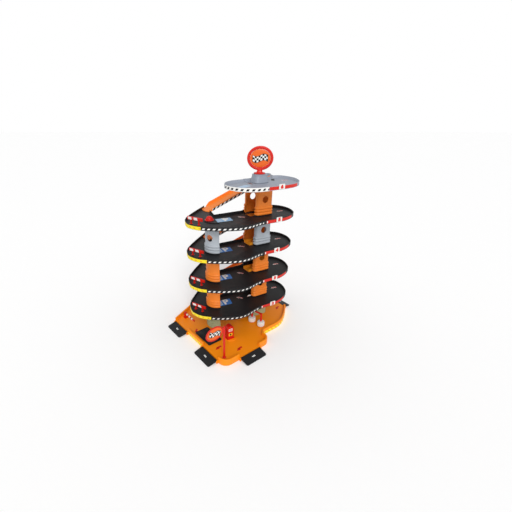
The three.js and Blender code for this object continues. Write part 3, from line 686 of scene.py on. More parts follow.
def swept(path: np.ndarray, section: np.ndarray) -> Patch:
    """Section carried along a plan path.

    A point is the path's point plus out times the path's right-hand normal, and up on top of
    the path's height. The label map is the arc length and the height up.

    Args:
        path: Points by 3.
        section: Pairs of out and up, in order round the section.

    Returns:
        The closed tube.
    """
    lengths, normals = path_frames(path)
    out, up = section.T
    flat = path[:, None, :2] + out[None, :, None] * normals[:, None, :]
    height = path[:, None, 2:] + up[None, :, None]
    uv = np.stack(np.broadcast_arrays(lengths[:, None], up[None, :]), axis=-1)
    return capped(np.concatenate([flat, height], axis=-1), uv)


def label_section(low: float, high: float, out: float = PAPER, sink: float = 0.1) -> np.ndarray:
    """Thin upright section between two heights, from a little under its wall."""
    return np.array([(-sink, low), (out, low), (out, high), (-sink, high)])


def slab(outline: np.ndarray, bottom: float, top: float) -> Patch:
    """Flat plate: its middle and outline at the bottom, then its outline and middle at the top.

    Args:
        outline: Points by 2, anticlockwise and star-shaped.
        bottom: Height of the underside.
        top: Height of the upper side.

    Returns:
        The closed grid.
    """
    middle = np.broadcast_to(outline.mean(axis=0), outline.shape)
    rows = ((middle, bottom), (outline, bottom), (outline, top), (middle, top))
    points = np.stack([raised(ring, height) for ring, height in rows])
    return Patch(points, uv=points[..., :2])


def box_patch(low: Triple, high: Triple) -> Patch:
    """Closed box between two corners."""
    outline = np.array([(high[0], high[1]), (low[0], high[1]), (low[0], low[1]), (high[0], low[1])])
    return slab(outline, low[2], high[2])


def rounded(width: float, depth: float, corner: float, slant: float = 0.0,
            place: Pair = (0.0, 0.0)) -> np.ndarray:
    """Rectangle with four quarter circles as its corners, sheared sideways.

    Args:
        width: Width before the shear.
        depth: Depth.
        corner: Radius of the corners.
        slant: Sideways shift for each millimetre of depth.
        place: Where its middle goes.

    Returns:
        Points by 2, anticlockwise.
    """
    signs = np.array([(1, 1), (-1, 1), (-1, -1), (1, -1)])
    centres = signs * (width / 2 - corner, depth / 2 - corner)
    arcs = [arc(corner, start, start + 90.0, count=5) for start in (0.0, 90.0, 180.0, 270.0)]
    outline = np.concatenate([centre + part for centre, part in zip(centres, arcs)])
    outline[:, 0] += slant * outline[:, 1]
    return outline + place


def revolved(profile: np.ndarray, steps: int = 48, lobes: int = 0, lobe_depth: float = 0.0) -> Patch:
    """Profile of radius and height turned about Z.

    With lobes, the radius shrinks by lobe_depth times half of one minus the cosine of lobes
    times the angle, times the fourth power of the point's share of the greatest radius.

    Args:
        profile: Points by 2, closed on the axis or on itself.
        steps: Points round the axis.
        lobes: Number of flutes.
        lobe_depth: Depth of a flute at the greatest radius.

    Returns:
        The closed grid.
    """
    angle = round_turn(steps)
    radius, height = profile[:, :1], profile[:, 1:]
    reach = radius - lobe_depth * (1 - np.cos(lobes * angle)) / 2 * (radius / radius.max()) ** 4
    parts = (reach * np.cos(angle), reach * np.sin(angle), height)
    return Patch(np.stack(np.broadcast_arrays(*parts), axis=-1))


def oval_ring(width: float, height: float, ring: float, depth: float) -> Patch:
    """Upright oval ring about the origin, its section a superellipse of power 3.

    Across and up are the middle oval's halves, plus half the ring's width times the section's
    cosine, times the cosine and the sine of the turn. Y is half the depth times its sine.

    Args:
        width: Outside width.
        height: Outside height.
        ring: Width of the section.
        depth: Depth of the section, along Y.

    Returns:
        The closed grid.
    """
    turn, (out, deep) = round_turn(steps=96)[:, None], superellipse(round_turn(steps=20), power=3.0)
    across = ((width - ring) / 2 + out * ring / 2) * np.cos(turn)
    up = ((height - ring) / 2 + out * ring / 2) * np.sin(turn)
    return Patch(np.stack(np.broadcast_arrays(across, deep * depth / 2, up), axis=-1), close_rows=True)


def oval_disc(width: float, height: float, depth: float) -> Patch:
    """Upright oval plate about the origin.

    Each row is the oval times a share; its faces bulge by the crown times one minus the
    share's square.

    Args:
        width: Outside width.
        height: Outside height.
        depth: Thickness at the rim.

    Returns:
        The closed grid.
    """
    crown = 0.8
    ring_shares = np.array([(0.0, -1), (0.35, -1), (0.7, -1), (0.93, -1), (1.0, -0.7)])
    ring_shares = np.vstack([ring_shares, ring_shares[::-1] * (1, -1)])
    share, side = ring_shares[:, :1], ring_shares[:, 1:] * depth / 2
    turn = round_turn(steps=72)
    parts = (share * width / 2 * np.cos(turn), side + np.sign(side) * crown * (1 - share ** 2),
             share * height / 2 * np.sin(turn))
    return Patch(np.stack(np.broadcast_arrays(*parts), axis=-1))


def glyph(text: str, height: float, thickness: float, bold: float) -> tuple[np.ndarray, list[list[int]]]:
    """Letter or figure as a thin solid in the XY plane, centred on the origin.

    Args:
        text: One generic sign, such as a floor's number.
        height: Height of the sign.
        thickness: Thickness along Z.
        bold: Widening of the strokes, as a share of the sign's size.

    Returns:
        Its points and faces.
    """
    curve = bpy.data.curves.new("glyph", "FONT")
    curve.body = text
    curve.size = 1.0
    curve.extrude = 0.1
    curve.resolution_u = 4
    curve.offset = bold
    carrier = added("glyph", curve)
    mesh = bpy.data.meshes.new_from_object(carrier)
    points = np.empty(len(mesh.vertices) * 3)
    mesh.vertices.foreach_get("co", points)
    points = points.reshape(-1, 3)
    faces = [list(face.vertices) for face in mesh.polygons]
    bpy.data.objects.remove(carrier)
    bpy.data.meshes.remove(mesh)
    bpy.data.curves.remove(curve)
    low, high = points.min(axis=0), points.max(axis=0)
    points = (points - (low + high) / 2) * height / (high[1] - low[1])
    points[:, 2] = np.sign(points[:, 2]) * thickness / 2
    return points, faces


# Meshes and objects


def added(name: str, data: Optional[bpy.types.ID]) -> bpy.types.Object:
    """Puts data into the scene as an object.

    Args:
        name: The object's name.
        data: Its mesh, curve, camera or light.

    Returns:
        The object.
    """
    made = bpy.data.objects.new(name, data)
    bpy.context.scene.collection.objects.link(made)
    return made


def close_up(mesh: bpy.types.Mesh) -> None:
    """Merges doubles at seams and poles, drops empty faces and turns all faces outwards.

    Args:
        mesh: The mesh, in metres.
    """
    doubles = 1e-7
    shell = bmesh.new()
    shell.from_mesh(mesh)
    bmesh.ops.remove_doubles(shell, verts=shell.verts, dist=doubles)
    bmesh.ops.dissolve_degenerate(shell, edges=shell.edges, dist=doubles)
    bmesh.ops.recalc_face_normals(shell, faces=shell.faces)
    shell.to_mesh(mesh)
    shell.free()


@dataclass
class Workshop:
    """Turns grids and CAD copies into finished pieces.

    Args:
        origin: The plan's origin in the frame.
        made: Names of the pieces made so far.
    """

    origin: Vector
    made: list[str] = field(default_factory=list)

    def to_frame(self, points: np.ndarray) -> np.ndarray:
        """Plan millimetres as frame metres."""
        return points.reshape(-1, 3) * MM + np.array(self.origin)

    def finish(self, mesh: bpy.types.Mesh, name: str, look: Finish, body: Body,
               edge: float = 0.0, smooth: float = SMOOTH) -> bpy.types.Object:
        """Makes the object of a mesh, shades it and dresses it.

        Args:
            mesh: The mesh, in metres.
            name: The piece's name.
            look: Its finish.
            body: The CAD body that it rides on.
            edge: Width of its rounded edges; none where 0.
            smooth: Greatest angle in degrees that shades smooth.

        Returns:
            The piece.
        """
        mesh.shade_smooth()
        mesh.set_sharp_from_angle(angle=math.radians(smooth))
        mesh.materials.clear()
        mesh.materials.append(look.material())
        piece = added(name, mesh)
        if edge:
            bevel = piece.modifiers.new("rounded_edges", "BEVEL")
            bevel.width = edge * MM
            bevel.segments = 2
            bevel.limit_method = "ANGLE"
            bevel.angle_limit = math.radians(smooth)
            bevel.harden_normals = True
        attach(piece, body.value)
        self.made.append(name)
        LOG.info("made %s", name)
        return piece

    def piece(self, name: str, patches: Sequence[Patch], look: Finish, body: Body = Body.ROOT,
              edge: float = 0.0, smooth: float = SMOOTH) -> bpy.types.Object:
        """Joins closed grids into one piece.

        Args:
            name: The piece's name.
            patches: Grids in the plan.
            look: Its finish.
            body: The CAD body that it rides on.
            edge: Width of its rounded edges; none where 0.
            smooth: Greatest angle in degrees that shades smooth.

        Returns:
            The piece.
        """
        points = [patch.points.reshape(-1, 3) for patch in patches]
        starts = np.cumsum([0] + [len(part) for part in points])
        faces = np.concatenate([patch.faces() + start for patch, start in zip(patches, starts)])
        mesh = bpy.data.meshes.new(name)
        mesh.from_pydata(self.to_frame(np.concatenate(points)).tolist(), [], faces.tolist())
        if all(patch.uv is not None for patch in patches):
            uv = np.concatenate([patch.uv.reshape(-1, 2) for patch in patches])
            corners = np.empty(len(mesh.loops), dtype=np.int32)
            mesh.loops.foreach_get("vertex_index", corners)
            mesh.uv_layers.new(name=LABEL_MAP).uv.foreach_set("vector", uv[corners].ravel())
        close_up(mesh)
        return self.finish(mesh, name, look, body, edge, smooth)

    def sign(self, name: str, text: str, look: Print, size: Triple,
             place: Callable[[np.ndarray], np.ndarray]) -> None:
        """Makes a letter or figure.

        Args:
            name: The piece's name.
            text: One generic sign.
            look: Its ink.
            size: Its height, its thickness and the widening of its strokes.
            place: Moves local points, with X across and Y up, to the plan.
        """
        points, faces = glyph(text, *size)
        mesh = bpy.data.meshes.new(name)
        mesh.from_pydata(self.to_frame(place(points)).tolist(), [], faces)
        close_up(mesh)
        self.finish(mesh, name, look, Body.ROOT)

    def softened(self, node_name: str, look: Plastic, body: Body, edge: float) -> None:
        """Copies a CAD node, welds it and rounds its edges.

        Args:
            node_name: The CAD node that the copy stands for.
            look: Its finish.
            body: The CAD body that it rides on.
            edge: Width of its rounded edges.
        """
        weld, flat = 2e-6, math.radians(0.5)
        mesh = frame["nodes"][node_name].data.copy()
        mesh.name = f"{node_name}_moulding"
        shell = bmesh.new()
        shell.from_mesh(mesh)
        bmesh.ops.remove_doubles(shell, verts=shell.verts, dist=weld)
        bmesh.ops.dissolve_limit(shell, angle_limit=flat, verts=shell.verts, edges=shell.edges)
        shell.to_mesh(mesh)
        shell.free()
        piece = self.finish(mesh, f"{node_name}_moulding", look, body, edge)
        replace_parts(piece, node_name)


# Studio


@dataclass
class Studio:
    """Camera of the photograph's angle, plain soft light and a pale floor.

    Args:
        eye: The camera's place in the garage's plan.
        heading: Plan direction that the camera looks along.
        pitch: Degrees that it looks down.
        lens: Focal length for the sensor.
        sensor: Width of the sensor.
        shift: The camera's shift, sideways and up.
        view_reach: Distance in metres that the camera sees.
        sun: Place in metres that the sun shines from.
        aim: Place in metres that the sun shines to.
        sun_strength: The sun's strength.
        sun_angle: Degrees that the sun is wide.
        world_light: Strength of the world's light.
        floor_half: Half the floor's width in metres.
    """

    eye: Triple = (-617.0, -872.0, 720.3)
    heading: Pair = (0.4848, 0.8746)
    pitch: float = 25.902
    lens: float = 20.677
    sensor: float = 36.0
    shift: Pair = (0.057, 0.0273)
    view_reach: float = 50.0
    sun: Triple = (-1.2, -2.6, 2.2)
    aim: Triple = (0.0, 0.0, 0.3)
    sun_strength: float = 1.7
    sun_angle: float = 28.0
    world_light: float = 0.7
    floor_half: float = 60.0

    @staticmethod
    def aimed(name: str, data: bpy.types.ID, place: Vector, look: Vector) -> bpy.types.Object:
        """Adds a camera or light that looks along a direction.

        Args:
            name: The object's name.
            data: Its camera or light.
            place: Where it stands, in metres.
            look: The direction.

        Returns:
            The object.
        """
        made = added(name, data)
        made.location = place
        made.rotation_mode = "QUATERNION"
        made.rotation_quaternion = look.to_track_quat("-Z", "Y")
        return made

    def camera(self, origin: Vector) -> None:
        """Makes the camera and sets it as the scene's own.

        Args:
            origin: The plan's origin in the frame.
        """
        data = bpy.data.cameras.new("photo_camera")
        data.sensor_width = self.sensor
        data.lens = self.lens
        data.shift_x, data.shift_y = self.shift
        data.clip_end = self.view_reach
        down = math.radians(self.pitch)
        look = Vector((*(math.cos(down) * side for side in self.heading), -math.sin(down)))
        place = Vector(self.eye) * MM + origin
        bpy.context.scene.camera = self.aimed("photo_camera", data, place, look)

    def lights(self) -> None:
        """Adds the soft sun and a white world that lights less than the camera sees."""
        data = bpy.data.lights.new("front_sun", "SUN")
        data.angle = math.radians(self.sun_angle)
        data.energy = self.sun_strength
        self.aimed("front_sun", data, Vector(self.sun), Vector(self.aim) - Vector(self.sun))
        world = bpy.data.worlds.new("studio_world")
        world.use_nodes = True
        tree = world.node_tree
        light = tree.nodes["Background"]
        join(light, {"Color": (1, 1, 1, 1), "Strength": self.world_light})
        seen = add_node(tree, "Background", {"Color": (1, 1, 1, 1), "Strength": 1.0})
        path = add_node(tree, "LightPath", {})
        either = maths(tree, "MAXIMUM", path["Is Camera Ray"], path["Is Transmission Ray"])
        mix = add_node(tree, "MixShader", {0: either, 1: light.outputs[0], 2: seen[0]})
        join(tree.nodes["World Output"], {"Surface": mix[0]})
        bpy.context.scene.world = world

    def floor(self) -> None:
        """Large pale floor that keeps the garage's soft shadow."""
        mesh = bpy.data.meshes.new("studio_floor")
        half = self.floor_half
        corners = [(-half, -half, 0), (half, -half, 0), (half, half, 0), (-half, half, 0)]
        mesh.from_pydata(corners, [], [(0, 1, 2, 3)])
        floor = added("studio_floor", mesh)
        material = bpy.data.materials.new("studio_floor")
        material.use_nodes = True
        shader = material.node_tree.nodes["Principled BSDF"]
        join(shader, {"Base Color": (1, 1, 1, 1), "Roughness": 0.9, "Specular IOR Level": 0.1})
        mesh.materials.append(material)

    def build(self, origin: Vector) -> None:
        """Sets up the camera, the lights and the floor.

        Args:
            origin: The plan's origin in the frame.
        """
        bpy.context.scene.view_settings.view_transform = "Standard"
        self.camera(origin)
        self.lights()
        self.floor()


# Sub-assemblies


@dataclass
class Mouldings:
    """CAD mouldings that keep their shape and get rounded edges and a finish.

    Args:
        skins: Width of the rounded edges, and the finish or one for each storey, by the
            start of a node's name.
        kept: Starts of the names of nodes that other classes replace.
    """

    skins: tuple[tuple[str, float, tuple[Plastic, ...]], ...] = (
        ("base_tray", 1.3, (TRAY_ORANGE,)), ("exit_flap", 0.7, (BLACK,)), ("deck_", 0.6, (BLACK,)),
        ("top_deck", 0.7, (GREY,)), ("guard_rail", 1.1, (RED,)), ("level_tag", 0.4, (WHITE,)),
        # The lowest storey's tower and column shells take the grey with painted orange bounce light
        ("tower_front", 0.35, (BOUNCE_TINTED_GREY, ORANGE, ORANGE, PALE_GREY, ORANGE)),
        ("tower_rear", 0.35, (BLACK, BLACK, BLACK, ORANGE, ORANGE)),
        ("column_", 0.35, (BOUNCE_TINTED_GREY, ORANGE, ORANGE, PALE_GREY)), ("ramp_", 0.6, (ORANGE,)),
        ("lift_car", 0.5, (LIFT_ORANGE,)), ("turret", 1.6, (GREY,)), ("fuel_pump", 0.8, (RED,)),
        ("barrier", 0.5, (RED,)), ("service_plate", 0.5, (BLACK,)), ("wash_gantry", 0.7, (RED,)),
    )
    kept: tuple[str, ...] = ("top_sign", "pole_sign", "wash_roller", "column_cap")

    def skin(self, name: str) -> tuple[Plastic, float]:
        """Finish of a node and width of its rounded edges; its name ends in its storey, if any."""
        edge, looks = next((edge, looks) for start, edge, looks in self.skins if name.startswith(start))
        return (looks[int(name[-1]) - 1] if len(looks) > 1 else looks[0]), edge

    def build(self, shop: Workshop) -> None:
        """Makes the softened copy of every node that no other class replaces.

        Args:
            shop: Makes the pieces.
        """
        for body, names in frame["record"]["behaviour"]["bodies"].items():
            for name in names:
                if not name.startswith(self.kept):
                    look, edge = self.skin(name)
                    shop.softened(name, look, Body(body), edge)


@dataclass
class DeckPlan:
    """Outlines that the printed labels follow.

    Args:
        foot: Middle of a ramp's foot.
        head: Middle of a ramp's head.
        ramp_width: Outside width of a ramp.
        landing_places: Right side of the landing behind the tower.
        landing_length: Length of the landing past a ramp's head.
        left_reach: Reach of the black decks to the left.
        right_reach: Their reach to the right.
        reach: Their reach to the front.
        left_shares: Their left edge, as shares of the reaches.
        right_shares: Their right edge, as shares of the reaches.
        lobe: Middle of the top deck's left lobe.
        lobe_radius: Its radius.
        lobe_span: Angles in degrees where its round edge starts and ends.
        top_reaches: The top deck's reach to the right and to the front.
        top_shares: Its front edge, as shares of the reaches.
    """

    foot: Pair = (-139.0, 139.0)
    head: Pair = (82.0, 84.5)
    ramp_width: float = 88.0
    landing_places: tuple[Pair, ...] = ((99.0, 62.0), (121.0, 104.0))
    landing_length: float = 28.0
    left_reach: float = 290.0
    right_reach: float = 126.0
    reach: float = 133.0
    left_shares: tuple[Pair, ...] = (
        (-0.63, 1), (-0.765, 0.715), (-0.917, 0.361), (-0.976, 0.105), (-1, -0.15), (-0.982, -0.31),
        (-0.937, -0.495), (-0.822, -0.705), (-0.69, -0.873), (-0.559, -0.98), (-0.48, -1), (-0.39, -0.98),
        (-0.27, -0.9), (-0.16, -0.862))
    right_shares: tuple[Pair, ...] = (
        (0.1, -0.865), (0.36, -0.82), (0.6, -0.714), (0.8, -0.564), (0.913, -0.383), (0.984, -0.188),
        (1, -0.02), (0.975, 0.17), (0.9, 0.308))
    lobe: Pair = (-76.0, -47.5)
    lobe_radius: float = 82.0
    lobe_span: Pair = (95.0, 265.0)
    top_reaches: Pair = (135.0, 128.0)
    top_shares: tuple[Pair, ...] = (
        (-0.3, -1.015), (0.08, -0.995), (0.43, -0.915), (0.74, -0.7), (0.9, -0.43), (0.98, -0.22),
        (1, -0.04), (0.98, 0.2), (0.9, 0.4))

    def along(self) -> np.ndarray:
        """Unit plan direction up a ramp."""
        run = np.array(self.head) - np.array(self.foot)
        return run / np.linalg.norm(run)

    def ramp_line(self, side: float) -> np.ndarray:
        """Foot and head of a ramp's outer edge, on the front (-1) or the rear (1)."""
        across = self.along()[::-1] * (-1, 1)
        return np.array([self.foot, self.head]) + side * self.ramp_width / 2 * across

    def landing(self) -> np.ndarray:
        """Right side of the landing, up to the corner past the ramp's head."""
        return np.vstack([self.landing_places, self.ramp_line(1)[1] + self.landing_length * self.along()])

    def deck(self) -> np.ndarray:
        """Works out the curved edge of a black deck.

        Returns:
            The edge from the ramp's foot round the front to the landing.
        """
        rear = self.ramp_line(1)[0] - self.along()
        left = np.array(self.left_shares) * (self.left_reach, self.reach)
        right = np.array(self.right_shares) * (self.right_reach, self.reach)
        return spline(np.vstack([rear, left, right, self.landing()]), steps=44)

    def top(self) -> np.ndarray:
        """Works out the curved edge of the top deck.

        Returns:
            The edge from the rear of its left lobe to the landing.
        """
        lobe = self.lobe + arc(self.lobe_radius, *self.lobe_span, count=15)
        front = np.array(self.top_shares) * self.top_reaches
        return np.vstack([lobe[:-1], spline(np.vstack([lobe[-1], front, self.landing()]), steps=22)])


# The outlines that the decks' and the ramps' prints share
PLAN = DeckPlan()


@dataclass(frozen=True)
class Label:
    """Sticker along part of a wall.

    Args:
        name: The piece's name, or its start.
        start: Plan point near its start.
        end: Plan point near its end.
        look: Its print.
        low: Height of its lower edge over the wall's foot.
        high: Height of its upper edge.
        spare: Length left out at both ends.
        out: How far it stands out.
    """

    name: str
    start: Pair
    end: Pair
    look: Print
    low: float
    high: float
    spare: float = 0.0
    out: float = PAPER

    def on(self, edge: np.ndarray, foot: float) -> Patch:
        """The sticker on an edge at the height of its wall's foot."""
        path = raised(stretch(edge, self.start, self.end, self.spare), foot)
        return swept(path, label_section(self.low, self.high, self.out))


@dataclass(frozen=True)
class Arrow:
    """Gently bent arrow sticker: a red stroke and head, mostly on a white ground.

    The stroke is an arc about its middle angle, 90 degrees, and the head a triangle at its left end.

    Args:
        spot: Place of the arc's middle.
        height: Height of the surface.
        length: Length of the arc's chord.
        slimness: The chord's length over the stroke's width.
        ground: Width of the white ground over the stroke's; none where 0.
        bend: Half the arc's angle in degrees.
        drop: Share of the radius that lies under the spot.
        head_shares: Corners of the head from the stroke's end, as shares of its width.
    """

    spot: Spot
    height: float
    length: float = 16.0
    slimness: float = 4.5
    ground: float = 1.7
    bend: float = 25.0
    drop: float = 0.95
    head_shares: tuple[Pair, ...] = ((-1.6, -0.4), (0.5, -0.9), (0.1, 1.0))

    def patches(self, width: float, top: float) -> list[Patch]:
        """Stroke and head of one colour.

        Args:
            width: Width of the stroke.
            top: Thickness.

        Returns:
            The two grids.
        """
        radius = self.length / 2 / math.sin(math.radians(self.bend))
        stroke = radius * (arc(1.0, 90.0 - self.bend, 90.0 + self.bend, count=10) - (0.0, self.drop))
        head = stroke[-1] + width * np.array(self.head_shares)
        flat = swept(raised(stroke, self.height), label_section(0.0, top, width / 2, width / 2))
        return [flat.moved(self.spot), slab(head, self.height, self.height + top).moved(self.spot)]

    def build(self, shop: Workshop, name: str) -> None:
        """Makes the arrow.

        Args:
            shop: Makes the pieces.
            name: The arrow's name.
        """
        width = self.length / self.slimness
        shop.piece(name, self.patches(width, PAPER + OVER), RED_PRINT)
        if self.ground:
            shop.piece(f"{name}_ground", self.patches(width * self.ground, PAPER), WHITE_PRINT)


@dataclass(frozen=True)
class ParkingMark:
    """Blue sticker with a pale stripe and a white P.

    Args:
        spot: Place of the sticker.
        size: Width, depth, corner and slant of the sticker.
        stripe: Width, depth, corner and slant of the stripe.
        stripe_place: Place of the stripe on the sticker.
        over: What the stripe and the letter stand over the sticker.
        letter_spot: Place of the letter.
        letter: Height, thickness and boldness of the letter.
    """

    spot: Spot = Spot(-153.0, -15.0, -6.0)
    size: tuple[float, ...] = (56.0, 37.0, 2.0, 0.12)
    stripe: tuple[float, ...] = (15.0, 30.0, 1.5, 0.12)
    stripe_place: Pair = (-17.0, 0.0)
    over: float = 0.12
    letter_spot: Spot = Spot(-145.0, -14.0, -4.0)
    letter: Triple = (33.0, 0.3, 0.03)

    def build(self, shop: Workshop, level: int) -> None:
        """Makes the mark of one deck, in a paler blue on the highest.

        Args:
            shop: Makes the pieces.
            level: The deck's number in FLOORS.
        """
        floor = FLOORS[level]
        top = floor + PAPER + self.over
        ground = slab(rounded(*self.size), floor, floor + PAPER).moved(self.spot)
        shop.piece(f"parking_mark_{level + 1}", [ground], SKY_PRINT if level == DECKS[-1] else BLUE_PRINT)
        stripe = slab(rounded(*self.stripe, self.stripe_place), floor, top).moved(self.spot)
        shop.piece(f"parking_stripe_{level + 1}", [stripe], PALE_PRINT)
        shop.sign(f"parking_letter_{level + 1}", "P", WHITE_PRINT, self.letter,
                  lambda points: self.letter_spot.map(points + (0.0, 0.0, top)))


@dataclass
class DeckPrints:
    """Labels, parking marks, arrows and numbers of the five raised decks.

    Args:
        rim_drop: Depth of a deck's rim under its floor.
        yellow_start: Where a black deck's yellow label starts.
        turns: Where it ends and the blocks start, by deck.
        blocks_end: Where the blocks end.
        red_start: Where the red label starts.
        red_end: Where the red label ends.
        tip_end: Where the white print on the red label ends.
        top_start: Where the top deck's blocks start.
        top_turn: Where they end and its red label starts.
        top_end: Where its red label ends.
        band: Heights of the edges of the yellow label and the blocks, over the rim's foot.
        red_band: Heights of the red label's edges.
        tip_band: Heights of the white print's edges.
        top_band: Heights of the edges of the top deck's blocks.
        top_red_band: Heights of the edges of its red label.
        spare: Length left out at the blocks' ends; half of it at the white print's.
        tip_out: How far the white print stands out.
        number_size: Height, thickness and boldness of a floor's number.
        number_stretch: Widening of a number.
        number_out: Distance of a number's middle from its tag's face.
        mark: The parking mark.
        left_arrow: Place of a black deck's left arrow.
        right_arrow: Place of its right arrow.
        top_arrow: Place of the top deck's arrow.
        top_arrow_length: Its length.
        pale: Width, depth, corner and slant of the top deck's pale sticker.
        pale_spot: Its place.
        slot: Width, depth and corner of the dark patch beside the turret: painted shadow, not a real slot.
        shadow_patch_spot: Its place.
    """

    rim_drop: float = 4.0
    yellow_start: Pair = (-282.0, 16.0)
    turns: tuple[Pair, ...] = ((-249.0, -92.0), (-259.0, -84.0), (-257.0, -87.0), (-267.0, -73.0))
    blocks_end: Pair = (-58.0, -114.5)
    red_start: Pair = (-47.0, -114.5)
    red_end: Pair = (73.0, -99.0)
    tip_end: Pair = (-42.0, -114.5)
    top_start: Pair = (-156.0, -27.0)
    top_turn: Pair = (-55.0, -129.5)
    top_end: Pair = (73.0, -110.0)
    band: Pair = (0.7, 11.7)
    red_band: Pair = (1.2, 11.3)
    tip_band: Pair = (2.6, 9.9)
    top_band: Pair = (0.5, 12.4)
    top_red_band: Pair = (1.4, 11.6)
    spare: float = 1.0
    tip_out: float = 0.4
    number_size: Triple = (13.0, 0.5, 0.08)
    number_stretch: float = 1.3
    number_out: float = 0.1
    mark: ParkingMark = ParkingMark()
    left_arrow: Spot = Spot(-79.0, -16.5, -52.0)
    right_arrow: Spot = Spot(91.0, -13.0, -16.0)
    top_arrow: Spot = Spot(106.0, -10.0, -16.0)
    top_arrow_length: float = 17.0
    pale: tuple[float, ...] = (60.0, 26.0, 3.0, 0.3)
    pale_spot: Spot = Spot(-99.0, -48.0, 24.0)
    slot: Triple = (12.0, 42.0, 3.0)
    shadow_patch_spot: Spot = Spot(70.0, 20.0, -36.6)

    def rim_labels(self, level: int) -> Sequence[Label]:
        """Lists the labels on a deck's rim.

        Args:
            level: The deck's number in FLOORS.

        Returns:
            The labels from the left.
        """
        if level == TOP:
            blocks = (*self.top_band, self.spare)
            return (Label("block_label", self.top_start, self.top_turn, TOP_BLOCKS, *blocks),
                    Label("red_label", self.top_turn, self.top_end, RED_LABEL, *self.top_red_band))
        turn = self.turns[level - 1]
        tip = (*self.tip_band, self.spare / 2, self.tip_out)
        return (Label("yellow_label", self.yellow_start, turn, YELLOW_LABEL, *self.band),
                Label("block_label", turn, self.blocks_end, DECK_BLOCKS, *self.band, self.spare),
                Label("red_label", self.red_start, self.red_end, RED_LABEL, *self.red_band),
                Label("red_label_tip", self.red_start, self.tip_end, WHITE_PRINT, *tip))

    def number(self, shop: Workshop, level: int) -> None:
        """Stands a floor's number on its tag.

        Args:
            shop: Makes the pieces.
            level: The deck's number in FLOORS.
        """
        low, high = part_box(f"level_tag_{level + 1}")
        middle = ((low + high) / 2 - shop.origin) / MM
        face = (middle.x, (low.y - shop.origin.y) / MM - self.number_out, middle.z)
        shop.sign(f"floor_number_{level + 1}", str(level + 1), RED_PRINT, self.number_size,
                  lambda points: points[:, [0, 2, 1]] * (self.number_stretch, -1, 1) + face)

    def top_stickers(self, shop: Workshop) -> None:
        """Makes the arrow, the pale sticker and the dark patch of painted shadow beside the turret on the
        top deck.

        Args:
            shop: Makes the pieces.
        """
        floor = FLOORS[TOP]
        Arrow(self.top_arrow, floor, self.top_arrow_length).build(shop, "right_arrow_6")
        pale = slab(rounded(*self.pale), floor, floor + PAPER).moved(self.pale_spot)
        shop.piece("pale_sticker_6", [pale], PALE_PRINT)
        # A dark sticker stands in for the shadow beside the turret: painted shadow
        slot = slab(rounded(*self.slot), floor, floor + OVER).moved(self.shadow_patch_spot)
        shop.piece("painted_shadow_6", [slot], DARK_PRINT)

    def build(self, shop: Workshop) -> None:
        """Makes the prints of every raised deck, from the lowest up.

        Args:
            shop: Makes the pieces.
        """
        for level in (*DECKS, TOP):
            edge = PLAN.top() if level == TOP else PLAN.deck()
            for label in self.rim_labels(level):
                patch = label.on(edge, FLOORS[level] - self.rim_drop)
                shop.piece(f"{label.name}_{level + 1}", [patch], label.look)
            self.number(shop, level)
            if level in DECKS:
                self.mark.build(shop, level)
                Arrow(self.left_arrow, FLOORS[level]).build(shop, f"left_arrow_{level + 1}")
                Arrow(self.right_arrow, FLOORS[level]).build(shop, f"right_arrow_{level + 1}")
        self.top_stickers(shop)


@dataclass
class RampPrints:
    """Checked labels on the ramps' front walls.

    Args:
        high: Height of the label's upper edge over a ramp's underside.
        low: Height of its lower edge.
        span_shares: Where the label starts and ends along a ramp.
    """

    high: float = 8.4
    low: float = 0.4
    span_shares: Pair = (0.036, 0.995)

    def build(self, shop: Workshop) -> None:
        """Makes one label for each ramp.

        Args:
            shop: Makes the pieces.
        """
        share = np.linspace(*self.span_shares, num=24)[:, None]
        for level, floors in enumerate(zip(FLOORS, FLOORS[1:])):
            foot, head = np.column_stack([PLAN.ramp_line(-1), floors]) + (0.0, 0.0, GAP)
            label = swept(foot + (head - foot) * share, label_section(self.low, self.high))
            shop.piece(f"ramp_label_{level + 1}", [label], RAMP_BLOCKS)


